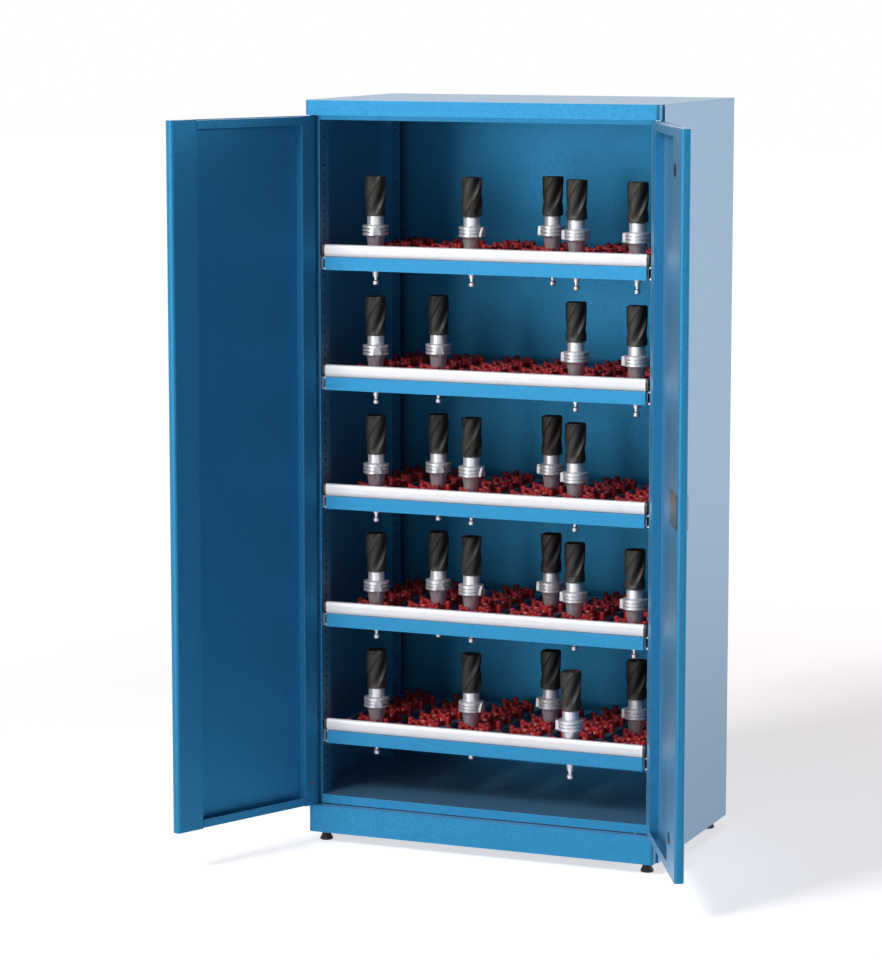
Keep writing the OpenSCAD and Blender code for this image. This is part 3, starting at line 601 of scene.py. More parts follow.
def lathe(profile: list[Point], segments: int = 48, ring: bool = False) -> Shape:
    """Turns a profile about the z axis.

    Args:
        profile: radius and height of each corner in millimetres, from the top down outside.
        segments: number of steps round the axis.
        ring: whether the last corner joins the first, as in a ring's section.

    Returns:
        The turned shape; a radius of zero becomes one point.
    """
    angles = np.linspace(0, 2 * math.pi, segments, endpoint=False)
    points: list[np.ndarray] = []
    rows: list[list[int]] = []
    count = 0
    for radius, height in profile:
        steps = angles if radius > 0 else angles[:1]
        points.append(np.column_stack([radius * np.cos(steps), radius * np.sin(steps),
                                       np.full(len(steps), height)]))
        rows.append([count + i for i in range(len(steps))])
        count += len(steps)
    if ring:
        rows.append(rows[0])
    faces = []
    for upper, lower in zip(rows, rows[1:]):
        for i in range(segments):
            k = (i + 1) % segments
            corners = (upper[i % len(upper)], lower[i % len(lower)],
                       lower[k % len(lower)], upper[k % len(upper)])
            faces.append(tuple(dict.fromkeys(corners)))
    return Shape().join(np.vstack(points) * MM, faces)


def loft(sections: list[np.ndarray], close_ends: bool = True) -> Shape:
    """Joins closed sections of equal length by quads.

    Args:
        sections: rows of x, y, z in millimetres for each section, in order.
        close_ends: whether the first and last section are filled.

    Returns:
        The lofted shape.
    """
    size = len(sections[0])
    faces = []
    for s in range(len(sections) - 1):
        for i in range(size):
            k = (i + 1) % size
            faces.append((s * size + i, s * size + k, (s + 1) * size + k, (s + 1) * size + i))
    if close_ends:
        faces.append(tuple(reversed(range(size))))
        faces.append(tuple((len(sections) - 1) * size + i for i in range(size)))
    return Shape().join(np.vstack(sections) * MM, faces)


def arc(centre: Point, radius: float, start: float, end: float, steps: int) -> list[Point]:
    """Points on an arc.

    Args:
        centre: the arc's centre.
        radius: its radius.
        start: first angle in degrees.
        end: last angle in degrees.
        steps: number of steps between them.

    Returns:
        The points, both ends included.
    """
    turns = [math.radians(start + (end - start) * i / steps) for i in range(steps + 1)]
    return [(centre[0] + radius * math.cos(t), centre[1] + radius * math.sin(t)) for t in turns]


def ring_section(radius: np.ndarray, angle: np.ndarray, z: float) -> np.ndarray:
    """One closed section of a loft around z.

    Args:
        radius: distance of each point from the axis.
        angle: turn of each point in radians.
        z: height of the section.

    Returns:
        The points, one row each.
    """
    return np.column_stack([radius * np.cos(angle), radius * np.sin(angle), np.full(len(angle), z)])


def rounded_box(size: Vector, radius: float, steps: int = 4) -> Shape:
    """A block in x and y with round upright edges and eased faces, centred on the origin.

    Args:
        size: its length, width and height in millimetres.
        radius: radius of the upright edges.
        steps: steps in each rounded corner.

    Returns:
        The block.
    """
    half_x, half_y, half_z = size.x / 2 - radius, size.y / 2 - radius, size.z / 2
    ease = min(1.0, radius / 2)
    sections = []
    for height, inset in ((-half_z, ease), (-half_z + ease, 0), (half_z - ease, 0), (half_z, ease)):
        outline: list[Point] = []
        for sign_x, sign_y, turn in ((1, 1, 0), (-1, 1, 90), (-1, -1, 180), (1, -1, 270)):
            outline += arc((sign_x * half_x, sign_y * half_y), radius - inset, turn, turn + 90, steps)
        sections.append(np.array([(x, y, height) for x, y in outline]))
    return loft(sections)


def ease_edges(piece: bpy.types.Object, width_mm: float, weld: bool = False) -> None:
    """Rounds the sharp edges of a piece with a bevel modifier.

    Args:
        piece: the piece.
        width_mm: width of the rounding.
        weld: whether split points are joined first, as an imported node needs.
    """
    if weld:
        joined = piece.modifiers.new("weld", "WELD")
        joined.merge_threshold = 0.00002
    bevel = piece.modifiers.new("eased_edges", "BEVEL")
    bevel.width = width_mm * MM
    bevel.segments = 2
    bevel.limit_method = "ANGLE"
    bevel.angle_limit = math.radians(35)
    bevel.use_clamp_overlap = True
    shading = piece.modifiers.new("flat_faces", "WEIGHTED_NORMAL")
    shading.keep_sharp = True
    shading.weight = 100


def settle(piece: bpy.types.Object, body: str, slot: Finish, *nodes: str) -> None:
    """Ties a piece to the model.

    Args:
        piece: the piece.
        body: the body that it rides on.
        slot: not used.
        nodes: the CAD nodes that it stands for.
    """
    if nodes:
        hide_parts(*nodes)
    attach(piece, body)
    LOG.info("placed %s", piece.name)


# ---------------------------------------------------------------- sub-assemblies


@dataclass
class Sheetwork:
    """The painted, plated and moulded pieces whose CAD form is already right."""

    paints: Paintbox
    edge: float = 0.5
    door_edge: float = 0.7
    # The base rails get the darker copy of the blue, which is painted shade.
    finishes: dict[str, Finish] = field(default_factory=lambda: {
        "foot_pads": Finish.RUBBER, "foot_screws": Finish.ZINC, "slide_outers": Finish.ZINC,
        "pivot_pins": Finish.ZINC, "catch_magnets": Finish.BLACK, "base_rails": Finish.SHADED_BLUE,
        "lock_case": Finish.BRONZE, "lock_cover": Finish.BRONZE, "rod_guides": Finish.BLACK,
        "stile_plugs": Finish.BLACK, "rod_upper": Finish.ZINC, "rod_lower": Finish.ZINC})
    # The carriers get the darker copy of the blue, which is painted shade.
    by_ending: dict[str, Finish] = field(default_factory=lambda: {
        "_carriers": Finish.SHADED_BLUE, "_slide_inner": Finish.ZINC, "_slide_mid": Finish.ZINC})
    bevelled: tuple[str, ...] = (
        "side_panel_left", "side_panel_right", "back_panel", "top_cover", "door_stop_rail",
        "floor_panel", "plinth", "door_left_shell", "door_left_stiles", "door_right_shell",
        "door_right_stiles", "lock_case", "lock_cover", "stile_plugs", "catch_magnets")

    def finish_of(self, name: str) -> Finish:
        """The finish of a CAD node.

        Args:
            name: the node's name.

        Returns:
            Its finish; what isn't listed is the cabinet's blue.
        """
        for ending, finish in self.by_ending.items():
            if name.endswith(ending):
                return finish
        return self.finishes.get(name, Finish.BLUE)

    def build(self) -> None:
        """Dresses every CAD node, also those that other classes later replace and hide."""
        for name, node in frame["nodes"].items():
            self.paints.dress(node, self.finish_of(name))
            if name in self.bevelled or name.endswith("_frame"):
                ease_edges(node, self.door_edge if name.startswith("door") else self.edge, weld=True)
            LOG.info("dressed %s in %s", name, self.finish_of(name).value)


@dataclass
class SocketField:
    """The moulded sockets of one pull-out: six carriers with twelve rows each."""

    paints: Paintbox
    carriers: int = 6
    rows: int = 12
    pitch_x: float = 150.0
    pitch_y: float = 41.4
    shift: float = 18.0
    ring_r: float = 22.0
    ring_height: float = 12.0
    sleeve_r: float = 21.0
    sleeve_depth: float = 24.0
    seat_r: float = 17.23
    taper: float = 0.1457
    lobe_r: float = 8.0
    lobe_reach: float = 29.0
    lobe_height: float = 22.0
    lobe_round: float = 3.2
    lobe_angle: float = 75.0

    def place(self, carrier: int, row: int) -> Point:
        """Centre of a socket.

        Args:
            carrier: number of the carrier from the left.
            row: number of the row from the front.

        Returns:
            Its x, and its distance behind the first row, in millimetres.
        """
        side = 1 if row % 2 == 0 else -1
        return (carrier - (self.carriers - 1) / 2) * self.pitch_x + side * self.shift, self.pitch_y * row

    def crown(self, side: int, front_lobe: bool) -> Shape:
        """One socket: a sleeve with a ring, and lobes that lead the tool in.

        Args:
            side: side of the outer lobe, 1 or -1.
            front_lobe: whether the lobe nearest the handle is there.

        Returns:
            The shape, with z = 0 at the carrier's top.
        """
        top = self.ring_height
        bore_top, bore_low = self.seat_r + self.taper * top, self.seat_r - self.taper * self.sleeve_depth
        ease = 1.2
        shape = lathe([(self.ring_r, 0), (self.ring_r, top - ease),
                       (self.ring_r - ease * 0.3, top - ease * 0.3), (self.ring_r - ease, top),
                       (bore_top + ease, top), (bore_top, top - ease), (bore_low, -self.sleeve_depth),
                       (self.sleeve_r, -self.sleeve_depth), (self.sleeve_r, 0)][::-1], 40, ring=True)
        cap_centre = (self.lobe_r - self.lobe_round, self.lobe_height - self.lobe_round)
        cap = arc(cap_centre, self.lobe_round, 90, 0, 4)
        post = lathe([(0, self.lobe_height), *cap, (self.lobe_r, 0), (0, 0)], 20)
        turns = [0, self.lobe_angle, 180] + ([-self.lobe_angle] if front_lobe else [])
        for turn in map(math.radians, turns):
            offset = Vector((side * math.cos(turn), math.sin(turn), 0)) * self.lobe_reach * MM
            shape.merge(post, Matrix.Translation(offset))
        return shape

    def build(self) -> None:
        """Makes one mesh of all sockets, and places it in each of the five pull-outs."""
        whole = Shape()
        kinds = {(s, f): self.crown(s, f) for s in (1, -1) for f in (True, False)}
        for carrier in range(self.carriers):
            for row in range(self.rows):
                x, y = self.place(carrier, row)
                crown = kinds[(1 if row % 2 == 0 else -1, row > 0)]
                whole.merge(crown, Matrix.Translation(Vector((x, y, 0)) * MM))
        mesh = whole.to_mesh("socket_field", 40.0)
        for k in range(1, PULLOUTS + 1):
            piece = mesh_object(f"pullout_{k}_sockets", mesh)
            piece.location = Pullout.of(k).first_row
            self.paints.dress(piece, Finish.RED)
            settle(piece, f"shelf_{k}", Finish.RED, f"shelf_{k}_inserts")


@dataclass(frozen=True)
class Pullout:
    """Where one pull-out stands, read from the frame, in metres."""

    number: int
    bar_low: Vector
    bar_high: Vector
    carrier_top: float
    first_row_depth: float = 0.0325

    @classmethod
    def of(cls, number: int) -> "Pullout":
        """Reads a pull-out's place from its CAD nodes; number counts from the top one down."""
        low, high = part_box(f"shelf_{number}_handle")
        return cls(number, low, high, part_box(f"shelf_{number}_carriers")[1].z)

    @property
    def first_row(self) -> Vector:
        """Middle of the first row of sockets, at the carriers' top."""
        return Vector((0, self.bar_low.y + self.first_row_depth, self.carrier_top))


@dataclass
class HandleBars:
    """The pale handle profiles with their black end caps."""

    paints: Paintbox
    cap: float = 9.0
    front_depth: float = 7.0
    front_height: float = 13.0
    rear_r: float = 0.8
    curve_steps: int = 9
    cap_ease: float = 1.6

    def outline(self, size: Vector, inset: float) -> list[Point]:
        """Section of the profile, as depth and height.

        Args:
            size: depth in y and height in z, in millimetres.
            inset: how far the section is drawn in.

        Returns:
            The corners, counted round the section.
        """
        rear = self.rear_r
        points = []
        for middle, start in ((self.front_height, 270), (size.z - self.front_height, 180)):
            for y, z in arc((0, 0), 1, start, start - 90, self.curve_steps):
                points.append((self.front_depth + y * (self.front_depth - inset),
                               middle + z * (self.front_height - inset)))
        points += arc((size.y - rear, size.z - rear), max(rear - inset, 0.05), 90, 0, 2)
        points += arc((size.y - rear, rear), max(rear - inset, 0.05), 0, -90, 2)
        return points

    def section(self, size: Vector, x: float, inset: float) -> np.ndarray:
        """The section at a place along the bar.

        Args:
            size: depth and height of the profile in millimetres.
            x: place along the bar.
            inset: how far the section is drawn in.

        Returns:
            Rows of x, y, z in millimetres.
        """
        return np.array([(x, y, z) for y, z in self.outline(size, inset)])

    def build(self) -> None:
        """Makes the bar and the two caps of each pull-out."""
        for k in range(1, PULLOUTS + 1):
            spot = Pullout.of(k)
            size = (spot.bar_high - spot.bar_low) / MM
            half, bar_half = size.x / 2, size.x / 2 - self.cap
            bar = loft([self.section(size, x, 0) for x in (-bar_half, bar_half)])
            caps = Shape()
            for side in (-1, 1):
                ends = ((bar_half, 0.0), (half - self.cap_ease, 0.0), (half, self.cap_ease))
                caps.merge(loft([self.section(size, side * x, inset) for x, inset in ends][::side]))
            corner = Vector((0, spot.bar_low.y, spot.bar_low.z))
            for label, shape, finish in (("handle_bar", bar, Finish.ALUMINIUM),
                                         ("handle_caps", caps, Finish.BLACK)):
                piece = shape.to_object(f"pullout_{k}_{label}", 30.0)
                piece.location = corner
                self.paints.dress(piece, finish)
                settle(piece, f"shelf_{k}", finish, f"shelf_{k}_handle")


@dataclass
class Tools:
    """The machine tool holders with their cutters."""

    paints: Paintbox
    sockets: SocketField
    flange_rise: float = 20.0
    cone_top_r: float = 25.0
    cone_low_r: float = 9.7
    cone_length: float = 105.0
    stud_length: float = 30.0
    stud_r: float = 8.5
    neck_r: float = 5.0
    flange_r: float = 35.0
    flange_height: float = 27.0
    groove_depth: float = 6.5
    groove_width: float = 4.4
    groove_ease: float = 0.6
    groove_heights: tuple[float, float] = (18.5, 9.5)
    chuck_r: float = 22.5
    chuck_height: float = 28.0
    cutter_r: float = 28.5
    cutter_length: float = 104.0
    flutes: int = 4
    helix_deg: float = 28.0
    plate_width: float = 22.0
    plate_height: float = 24.0
    plate_reach: float = 39.9
    # Carrier, row and turn of the flat plate in degrees, for each pull-out from the top down
    places: tuple[tuple[tuple[int, int, int], ...], ...] = (
        ((0, 2, -60), (2, 3, -15), (3, 6, 190), (4, 3, 195), (5, 2, 195)),
        ((0, 2, -60), (1, 4, -60), (4, 3, 195), (5, 2, 195)),
        ((0, 2, -60), (1, 4, -60), (2, 3, -15), (3, 6, 190), (4, 3, 195)),
        ((0, 2, -60), (1, 4, -60), (2, 3, -15), (3, 6, 190), (4, 3, 195), (5, 2, 195)),
        ((0, 2, -60), (2, 3, -15), (3, 6, 190), (4, 0, 195), (5, 5, 195)))

    def holder(self) -> Shape:
        """The turned holder, from its pull stud to its chuck; z = 0 is the flange's lower face.

        Returns:
            The shape.
        """
        r, h, low = self.flange_r, self.flange_height, -self.cone_length
        head = low - self.stud_length
        ease = 0.8
        chuck_top = h + self.chuck_height
        groove, floor_r = self.groove_width / 2, r - self.groove_depth
        profile = [(0, chuck_top), (self.chuck_r - 3.5, chuck_top), (self.chuck_r - 2, chuck_top - 1),
                   (self.chuck_r, chuck_top - 3), (self.chuck_r, h + 3.5), (self.chuck_r - 0.9, h + 3),
                   (self.chuck_r - 0.9, h + 2), (self.chuck_r, h + 1.5), (self.chuck_r + 1.5, h),
                   (r - ease, h), (r, h - ease)]
        for z in self.groove_heights:
            profile += [(r, z + groove), (floor_r, z + groove - self.groove_ease),
                        (floor_r, z - groove + self.groove_ease), (r, z - groove)]
        profile += [(r, ease), (r - ease, 0), (self.cone_top_r + 0.6, 0), (self.cone_top_r, -0.8),
                    (self.cone_low_r, low + 1), (self.cone_low_r - 1, low), (self.stud_r, low),
                    (self.stud_r, low - 7.5), (self.neck_r, low - 8), (self.neck_r, head + 13.5),
                    (self.stud_r, head + 10.5), (self.stud_r, head + 2), (self.stud_r - 2, head), (0, head)]
        return lathe(profile, 56)

    def plate(self) -> Shape:
        """The flat plate on the flange, with its upper corners cut off.

        Returns:
            The shape, standing out along x.
        """
        w, h = self.plate_width / 2, self.plate_height
        base = (self.flange_height - h) / 2
        outline = [(-w, 0), (w, 0), (w * 0.9, h * 0.4), (w * 0.35, h), (-w * 0.35, h), (-w * 0.9, h * 0.4)]
        sections = []
        for x, inset in ((self.flange_r - 5, 0.0), (self.plate_reach - 1, 0.0), (self.plate_reach, 1.0)):
            shrink = 1 - inset / w
            sections.append(np.array([(x, y * shrink, base + h / 2 + (z - h / 2) * shrink)
                                      for y, z in outline]))
        return loft(sections)

    def cutter(self) -> Shape:
        """The fluted cutter; z = 0 is the chuck's top.

        Returns:
            The shape, with helical flutes and a notched end.
        """
        per_flute, rings = 14, 34
        turn = np.linspace(0, 1, per_flute * self.flutes, endpoint=False)
        within = (turn * self.flutes) % 1
        radius = self.cutter_r * np.interp(
            within, [0, 0.06, 0.34, 0.46, 0.58, 0.72, 0.86, 0.97, 1],
            [1, 0.99, 0.975, 0.93, 0.85, 0.79, 0.80, 0.93, 1])
        twist = math.tan(math.radians(self.helix_deg)) / self.cutter_r
        sections = []
        for step in range(rings + 1):
            z = self.cutter_length * step / rings
            fade = min(1.0, step / 4)
            rim = self.cutter_r * 0.97 * (1 - fade) + radius * fade
            angle = turn * 2 * math.pi + twist * z
            sections.append(ring_section(rim, angle, z))
        end_angle = turn * 2 * math.pi + twist * self.cutter_length
        for share, drop in ((0.66, 3.0), (0.3, 6.0), (0.05, 6.5)):
            rim = np.minimum(radius, self.cutter_r) * share
            sections.append(ring_section(rim, end_angle, self.cutter_length - drop))
        return loft(sections)

    def build(self) -> None:
        """Places a holder, its plate and its cutter at each listed socket."""
        parts = (("holder", self.holder(), Finish.GROUND_STEEL, 0.0),
                 ("plate", self.plate(), Finish.PLATE, 0.0),
                 ("cutter", self.cutter(), Finish.CUTTER, self.flange_height + self.chuck_height))
        meshes = {label: shape.to_mesh(f"tool_{label}", 30.0) for label, shape, _, _ in parts}
        for k, places in enumerate(self.places, start=1):
            spot = Pullout.of(k)
            for carrier, row, turn in places:
                x, y = self.sockets.place(carrier, row)
                seat = spot.first_row + Vector((x, y, 0)) * MM
                seat.z = spot.bar_high.z + self.flange_rise * MM
                for label, _, finish, rise in parts:
                    piece = mesh_object(f"pullout_{k}_{label}_{carrier}_{row}", meshes[label])
                    piece.location = seat + Vector((0, 0, rise * MM))
                    piece.rotation_euler.z = math.radians(turn)
                    self.paints.dress(piece, finish)
                    settle(piece, f"shelf_{k}", Finish.GROUND_STEEL, f"shelf_{k}_tools")


@dataclass
class Base:
    """The feet, and a black strip that closes the gap between plinth and floor panel: painted shade,
    standing where that gap holds only shadow.
    """

    paints: Paintbox
    sheet: float = 1.5
    foot_inset: float = 38.0
    rim_height: float = 5.0
    rim_ease: float = 1.2
    neck_share: float = 0.5
    flare_power: float = 1.6
    flare_steps: int = 8
    # Size of the black strip that paints the shadow in the gap between plinth and floor panel
    shade_strip_depth: float = 2.0
    shade_strip_overlap: float = 2.5
    shade_strip_end: float = 66.0
    shade_strip_round: float = 0.6

    def foot(self, radius: float, height: float) -> Shape:
        """One foot, flared towards the floor.

        Args:
            radius: radius of its lower rim in millimetres.
            height: its height.

        Returns:
            The shape, with z = 0 on the floor.
        """
        neck, rim, ease = radius * self.neck_share, self.rim_height, self.rim_ease
        flare = []
        for step in range(self.flare_steps + 1):
            rise = step / self.flare_steps
            spread = (1 - rise) ** self.flare_power
            flare.append((neck + (radius - neck) * spread, rim + (height - rim) * rise))
        profile = [(0, height), *flare[::-1], (radius, rim - 0.5), (radius, ease), (radius - ease, 0),
                   (0, 0)]
        return lathe(profile, 40)

    def build(self) -> None:
        """Places the four feet and the black strip of painted shade."""
        low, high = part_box("foot_pads")
        x, middle_x = (low.x + high.x) / 2, (high.x - low.x) / 2
        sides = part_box("side_panel_left")[0].x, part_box("side_panel_right")[1].x
        radius = middle_x - ((sides[1] - sides[0]) / 2 - self.foot_inset * MM)
        mesh = self.foot(radius / MM, (high.z - low.z) / MM).to_mesh("foot", 40.0)
        spots = [(side, y) for side in (-1, 1) for y in (low.y + radius, high.y - radius)]
        for i, (side, y) in enumerate(spots):
            piece = mesh_object(f"foot_{i + 1}", mesh)
            piece.location = (x + side * (middle_x - radius), y, low.z)
            self.paints.dress(piece, Finish.RUBBER)
            settle(piece, "cabinet", Finish.RUBBER, "foot_pads")
        # Painted shade: a black strip behind the gap between plinth and floor panel, where there is only
        # shadow.
        lip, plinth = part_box("floor_panel"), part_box("plinth")
        front = lip[0].y + self.sheet * MM
        low_z = plinth[1].z - self.shade_strip_overlap * MM
        high_z = lip[0].z + self.shade_strip_overlap * MM
        width = lip[1].x - lip[0].x - 2 * self.shade_strip_end * MM
        size = Vector((width, self.shade_strip_depth * MM, high_z - low_z)) / MM
        shade_strip = rounded_box(size, self.shade_strip_round, 3).to_object("floor_panel_shade_strip")
        shade_strip.location = (x, front + self.shade_strip_depth / 2 * MM, (low_z + high_z) / 2)
        self.paints.dress(shade_strip, Finish.RUBBER)
        settle(shade_strip, "cabinet", Finish.RUBBER)


@dataclass
class DoorPlace:
    """Turns places on a closed door into places on the open one, in metres."""

    joint: str
    pivot_inset: float = 12.0
    pivot_depth: float = 13.0

    def __post_init__(self) -> None:
        """Reads the hinge from the frame."""
        hinge = next(j for j in frame["joints"] if j["name"] == self.joint)
        turn = math.radians(-hinge["range_deg"][0]) * hinge["axis"][2]
        self.pivot = Vector(hinge["pos_m"])
        self.inward = Vector((-math.sin(turn), math.cos(turn), 0))
        self.along = Vector((-self.inward.y, self.inward.x, 0)) * hinge["axis"][2]

    def at(self, across: float, depth: float, height: float) -> Vector:
        """A place on the open door.

        Args:
            across: distance from the hinge edge.
            depth: distance behind the door's outer face.
            height: height above the floor.

        Returns:
            The place in metres.
        """
        place = self.pivot + self.along * (across - self.pivot_inset) * MM
        place += self.inward * (depth - self.pivot_depth) * MM
        place.z = height * MM
        return place

    def facing(self, outward: bool) -> Matrix:
        """Rotation that turns z to the door's inner or outer face, with y up.

        Args:
            outward: whether z looks out of the closed cabinet.

        Returns:
            The rotation.
        """
        z = -self.inward if outward else self.inward
        up = Vector((0, 0, 1))
        return Matrix((up.cross(z), up, z)).transposed().to_4x4()


@dataclass
class DoorFittings:
    """The turn knob, and the screws and plugs of the doors."""

    paints: Paintbox
    lock_height: float = 1044.0
    lock_across: float = 434.0
    disc_r: float = 29.0
    flat_r: float = 24.0
    disc_low: float = 13.7
    disc_top: float = 9.7
    grip: tuple[float, float, float] = (54.0, 12.0, 7.0)
    ribs: int = 60
    rib_depth: float = 0.5
    barrel_r: float = 5.5
    keyway: tuple[float, float, float] = (1.2, 6.5, 0.5)
    cover_half: tuple[float, float] = (50.0, 37.0)
    cover_depth: float = 27.4
    screw_r: float = 3.4
    # Across, depth and height of the plug on the left door's hinge stile
    plug_place: tuple[float, float, float] = (25.0, 26.0, 168.0)

    def knob(self) -> Shape:
        """The knob's disc with a ribbed rim; z looks out of the door from its outer face.

        Returns:
            The shape.
        """
        count = self.ribs * 2
        turn = np.linspace(0, 2 * math.pi, count, endpoint=False)
        wave = np.where(np.arange(count) % 2 == 0, self.disc_r, self.disc_r - self.rib_depth)
        flat = np.full(count, self.flat_r)
        sections = []
        for radius, z in ((wave - 1.2, -self.disc_low), (wave, -self.disc_low + 1.2),
                          (wave, -self.disc_top - 1.0), (wave - 1.0, -self.disc_top),
                          (flat, -self.disc_top)):
            sections.append(ring_section(radius, turn, z))
        return loft(sections)

    def screw(self) -> Shape:
        """A round screw head with the rim of a round recess.

        Returns:
            The shape, with z = 0 at its seat.
        """
        r = self.screw_r
        profile = [(0, 0.7), (r * 0.32, 0.7), (r * 0.4, 1.4), (r * 0.62, 1.35),
                   (r * 0.92, 0.8), (r, 0), (0, 0)]
        return lathe(profile, 24)

    def add(self, name: str, shape: Shape, place: Matrix, look: tuple[Finish, Finish],
            body: str, *nodes: str) -> None:
        """Places one fitting.

        Args:
            name: the piece's name.
            shape: its shape.
            place: where it goes.
            look: its finish, and a second finish that is handed on to settle, which doesn't use it.
            body: the body that it rides on.
            nodes: the CAD nodes that it stands for.
        """
        piece = shape.to_object(name)
        piece.matrix_world = place
        self.paints.dress(piece, look[0])
        settle(piece, body, look[1], *nodes)

    def build(self) -> None:
        """Makes the knob, the key barrel, the cover's screws and the plug of the left door."""
        right = DoorPlace("door_right_hinge")
        centre = right.at(self.lock_across, 0, self.lock_height)
        place = Matrix.Translation(centre) @ right.facing(outward=True)
        grip = Shape().merge(rounded_box(Vector(self.grip), 5.0, 6),
                             Matrix.Translation((0, 0, (self.grip[2] / 2 - self.disc_top) * MM)))
        barrel = lathe([(0, -2.5), (self.barrel_r - 0.6, -2.5), (self.barrel_r, -3.0),
                        (self.barrel_r, -5), (0, -5)], 32)
        slot = rounded_box(Vector(self.keyway), 0.5, 3)
        black = (Finish.BLACK, Finish.BLACK)
        zinc = (Finish.ZINC, Finish.ZINC)
        for name, shape, look in (("turn_knob_disc", self.knob(), black),
                                  ("turn_knob_grip", grip, black),
                                  ("turn_knob_barrel", barrel, zinc)):
            self.add(name, shape, place, look, "turn_knob", "turn_knob")
        keyway = place @ Matrix.Translation((0, 0, -2.4 * MM))
        self.add("turn_knob_keyway", slot, keyway, black, "turn_knob")
        inward = right.facing(outward=False)
        for i, (dx, dz) in enumerate((a, b) for a in (-1, 1) for b in (-1, 1)):
            spot = right.at(self.lock_across + dx * self.cover_half[0], self.cover_depth,
                            self.lock_height + dz * self.cover_half[1])
            self.add(f"lock_cover_screw_{i + 1}", self.screw(), Matrix.Translation(spot) @ inward,
                     (Finish.BRONZE, Finish.BRONZE), "door_right")
        left = DoorPlace("door_left_hinge")
        spot = left.at(*self.plug_place)
        self.add("hinge_stile_plug", self.screw(), Matrix.Translation(spot) @ left.facing(outward=False),
                 (Finish.PLUG, Finish.BLACK), "door_left")


# ---------------------------------------------------------------- studio


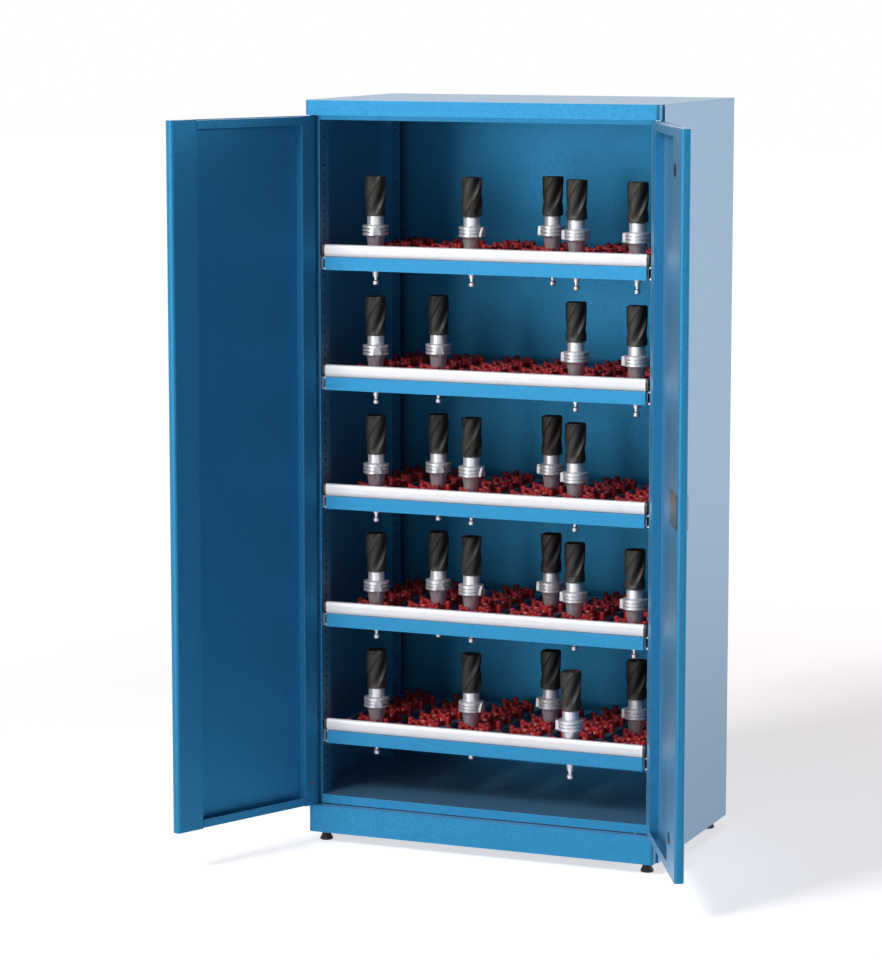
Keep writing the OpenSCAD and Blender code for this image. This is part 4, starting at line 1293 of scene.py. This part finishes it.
@dataclass
class Studio:
    """Camera, floor, lamps and world, in metres."""

    camera_place: Vector = field(default_factory=lambda: Vector((3.363, -8.5217, 2.3337)))
    yaw: float = 0.3903
    pitch: float = -0.1424
    focal_px: float = 3453.0
    picture_height_px: float = 960.0
    sensor_mm: float = 36.0
    ambient: float = 0.06
    floor_half: float = 40.0
    floor_lift: float = 0.62
    lift_reach: Point = (2.5, 7.0)
    ambient_tint: Colour = (1.4, 0.72, 1.05)
    aim: tuple[float, float, float] = (0.0, 0.0, 1.0)
    # Name, place, side and power of each lamp
    lamps: tuple[tuple[str, tuple[float, float, float], float, float], ...] = (
        ("key", (-4.0, -8.2, 8.0), 3.5, 860.0),
        ("front", (-4.2, -9.2, 1.6), 3.4, 240.0),
        ("side", (8.0, 4.0, 2.4), 3.0, 200.0))

    def camera(self) -> None:
        """Sets the camera at the picture's viewing angle, with no shift and no depth of field."""
        data = bpy.data.cameras.new("camera")
        data.sensor_width = self.sensor_mm
        data.lens = self.focal_px / self.picture_height_px * self.sensor_mm
        made = bpy.data.objects.new("camera", data)
        bpy.context.scene.collection.objects.link(made)
        level = math.cos(self.pitch)
        ahead = Vector((-math.sin(self.yaw) * level, math.cos(self.yaw) * level, math.sin(self.pitch)))
        made.location = self.camera_place
        made.rotation_euler = ahead.to_track_quat("-Z", "Y").to_euler()
        bpy.context.scene.camera = made

    @staticmethod
    def seen(n: Nodes) -> bpy.types.NodeSocket:
        """Whether a ray comes from the camera or off metal and glass.

        Args:
            n: helper of the tree.

        Returns:
            The socket, 1 for such rays.
        """
        path = n.add("ShaderNodeLightPath")
        pair = n.math("MAXIMUM", path.outputs["Is Camera Ray"], path.outputs["Is Glossy Ray"])
        return n.math("MAXIMUM", pair, path.outputs["Is Transmission Ray"])

    def world(self) -> None:
        """Makes a white world that lights the object at the ambient level."""
        world = bpy.data.worlds.new("studio")
        world.use_nodes = True
        bpy.context.scene.world = world
        n = Nodes(world.node_tree)
        seen = self.seen(n)
        sky = world.node_tree.nodes["Background"]
        n.link(n.remap(seen, (0, 1), (self.ambient, 1.0)), sky.inputs["Strength"])
        n.link(n.blend(seen, self.ambient_tint, (1.0, 1.0, 1.0)), sky.inputs["Color"])

    def floor(self) -> None:
        """Makes the pale floor, which keeps the object's shadow."""
        h = self.floor_half
        mesh = bpy.data.meshes.new("floor")
        mesh.from_pydata([(-h, -h, 0), (h, -h, 0), (h, h, 0), (-h, h, 0)], [], [(0, 1, 2, 3)])
        made = mesh_object("floor", mesh)
        material = bpy.data.materials.new("floor_white")
        material.use_nodes = True
        n = Nodes(material.node_tree)
        material.node_tree.nodes.remove(material.node_tree.nodes["Principled BSDF"])
        matt = n.add("ShaderNodeBsdfDiffuse")
        matt.inputs["Color"].default_value = (0.8, 0.8, 0.8, 1)
        glow = n.add("ShaderNodeEmission")
        reach = n.add("ShaderNodeVectorMath", operation="LENGTH")
        n.link(n.add("ShaderNodeTexCoord").outputs["Object"], reach.inputs[0])
        lift = n.remap(reach.outputs["Value"], self.lift_reach, (self.floor_lift, 1.0))
        n.link(n.math("MULTIPLY", self.seen(n), lift), glow.inputs["Strength"])
        both = n.add("ShaderNodeAddShader")
        n.link(matt.outputs[0], both.inputs[0])
        n.link(glow.outputs[0], both.inputs[1])
        n.link(both.outputs[0], material.node_tree.nodes["Material Output"].inputs["Surface"])
        made.data.materials.append(material)

    def lamp(self, name: str, place: Vector, aim: Vector, size: float, power: float) -> None:
        """Adds a soft square lamp.

        Args:
            name: the lamp's name.
            place: where it stands.
            aim: what it looks at.
            size: its side in metres.
            power: its power in watts.
        """
        data = bpy.data.lights.new(name, "AREA")
        data.size = size
        data.energy = power
        made = bpy.data.objects.new(name, data)
        bpy.context.scene.collection.objects.link(made)
        made.location = place
        made.rotation_euler = (aim - place).to_track_quat("-Z", "Y").to_euler()
        made.visible_camera = False

    def build(self) -> None:
        """Sets up the whole studio."""
        self.camera()
        self.world()
        self.floor()
        for name, place, size, power in self.lamps:
            self.lamp(name, Vector(place), Vector(self.aim), size, power)
        bpy.context.scene.view_settings.view_transform = "Standard"


def main() -> None:
    """Builds the studio and then the cabinet, piece by piece."""
    logging.basicConfig(level=logging.INFO, format="%(name)s: %(message)s")
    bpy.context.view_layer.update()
    Studio().build()
    paints = Paintbox()
    sockets = SocketField(paints)
    parts = (Sheetwork(paints), Base(paints), sockets, HandleBars(paints), Tools(paints, sockets),
             DoorFittings(paints))
    for part in parts:
        part.build()
        LOG.info("finished %s", type(part).__name__)


if __name__ == "__main__":
    main()
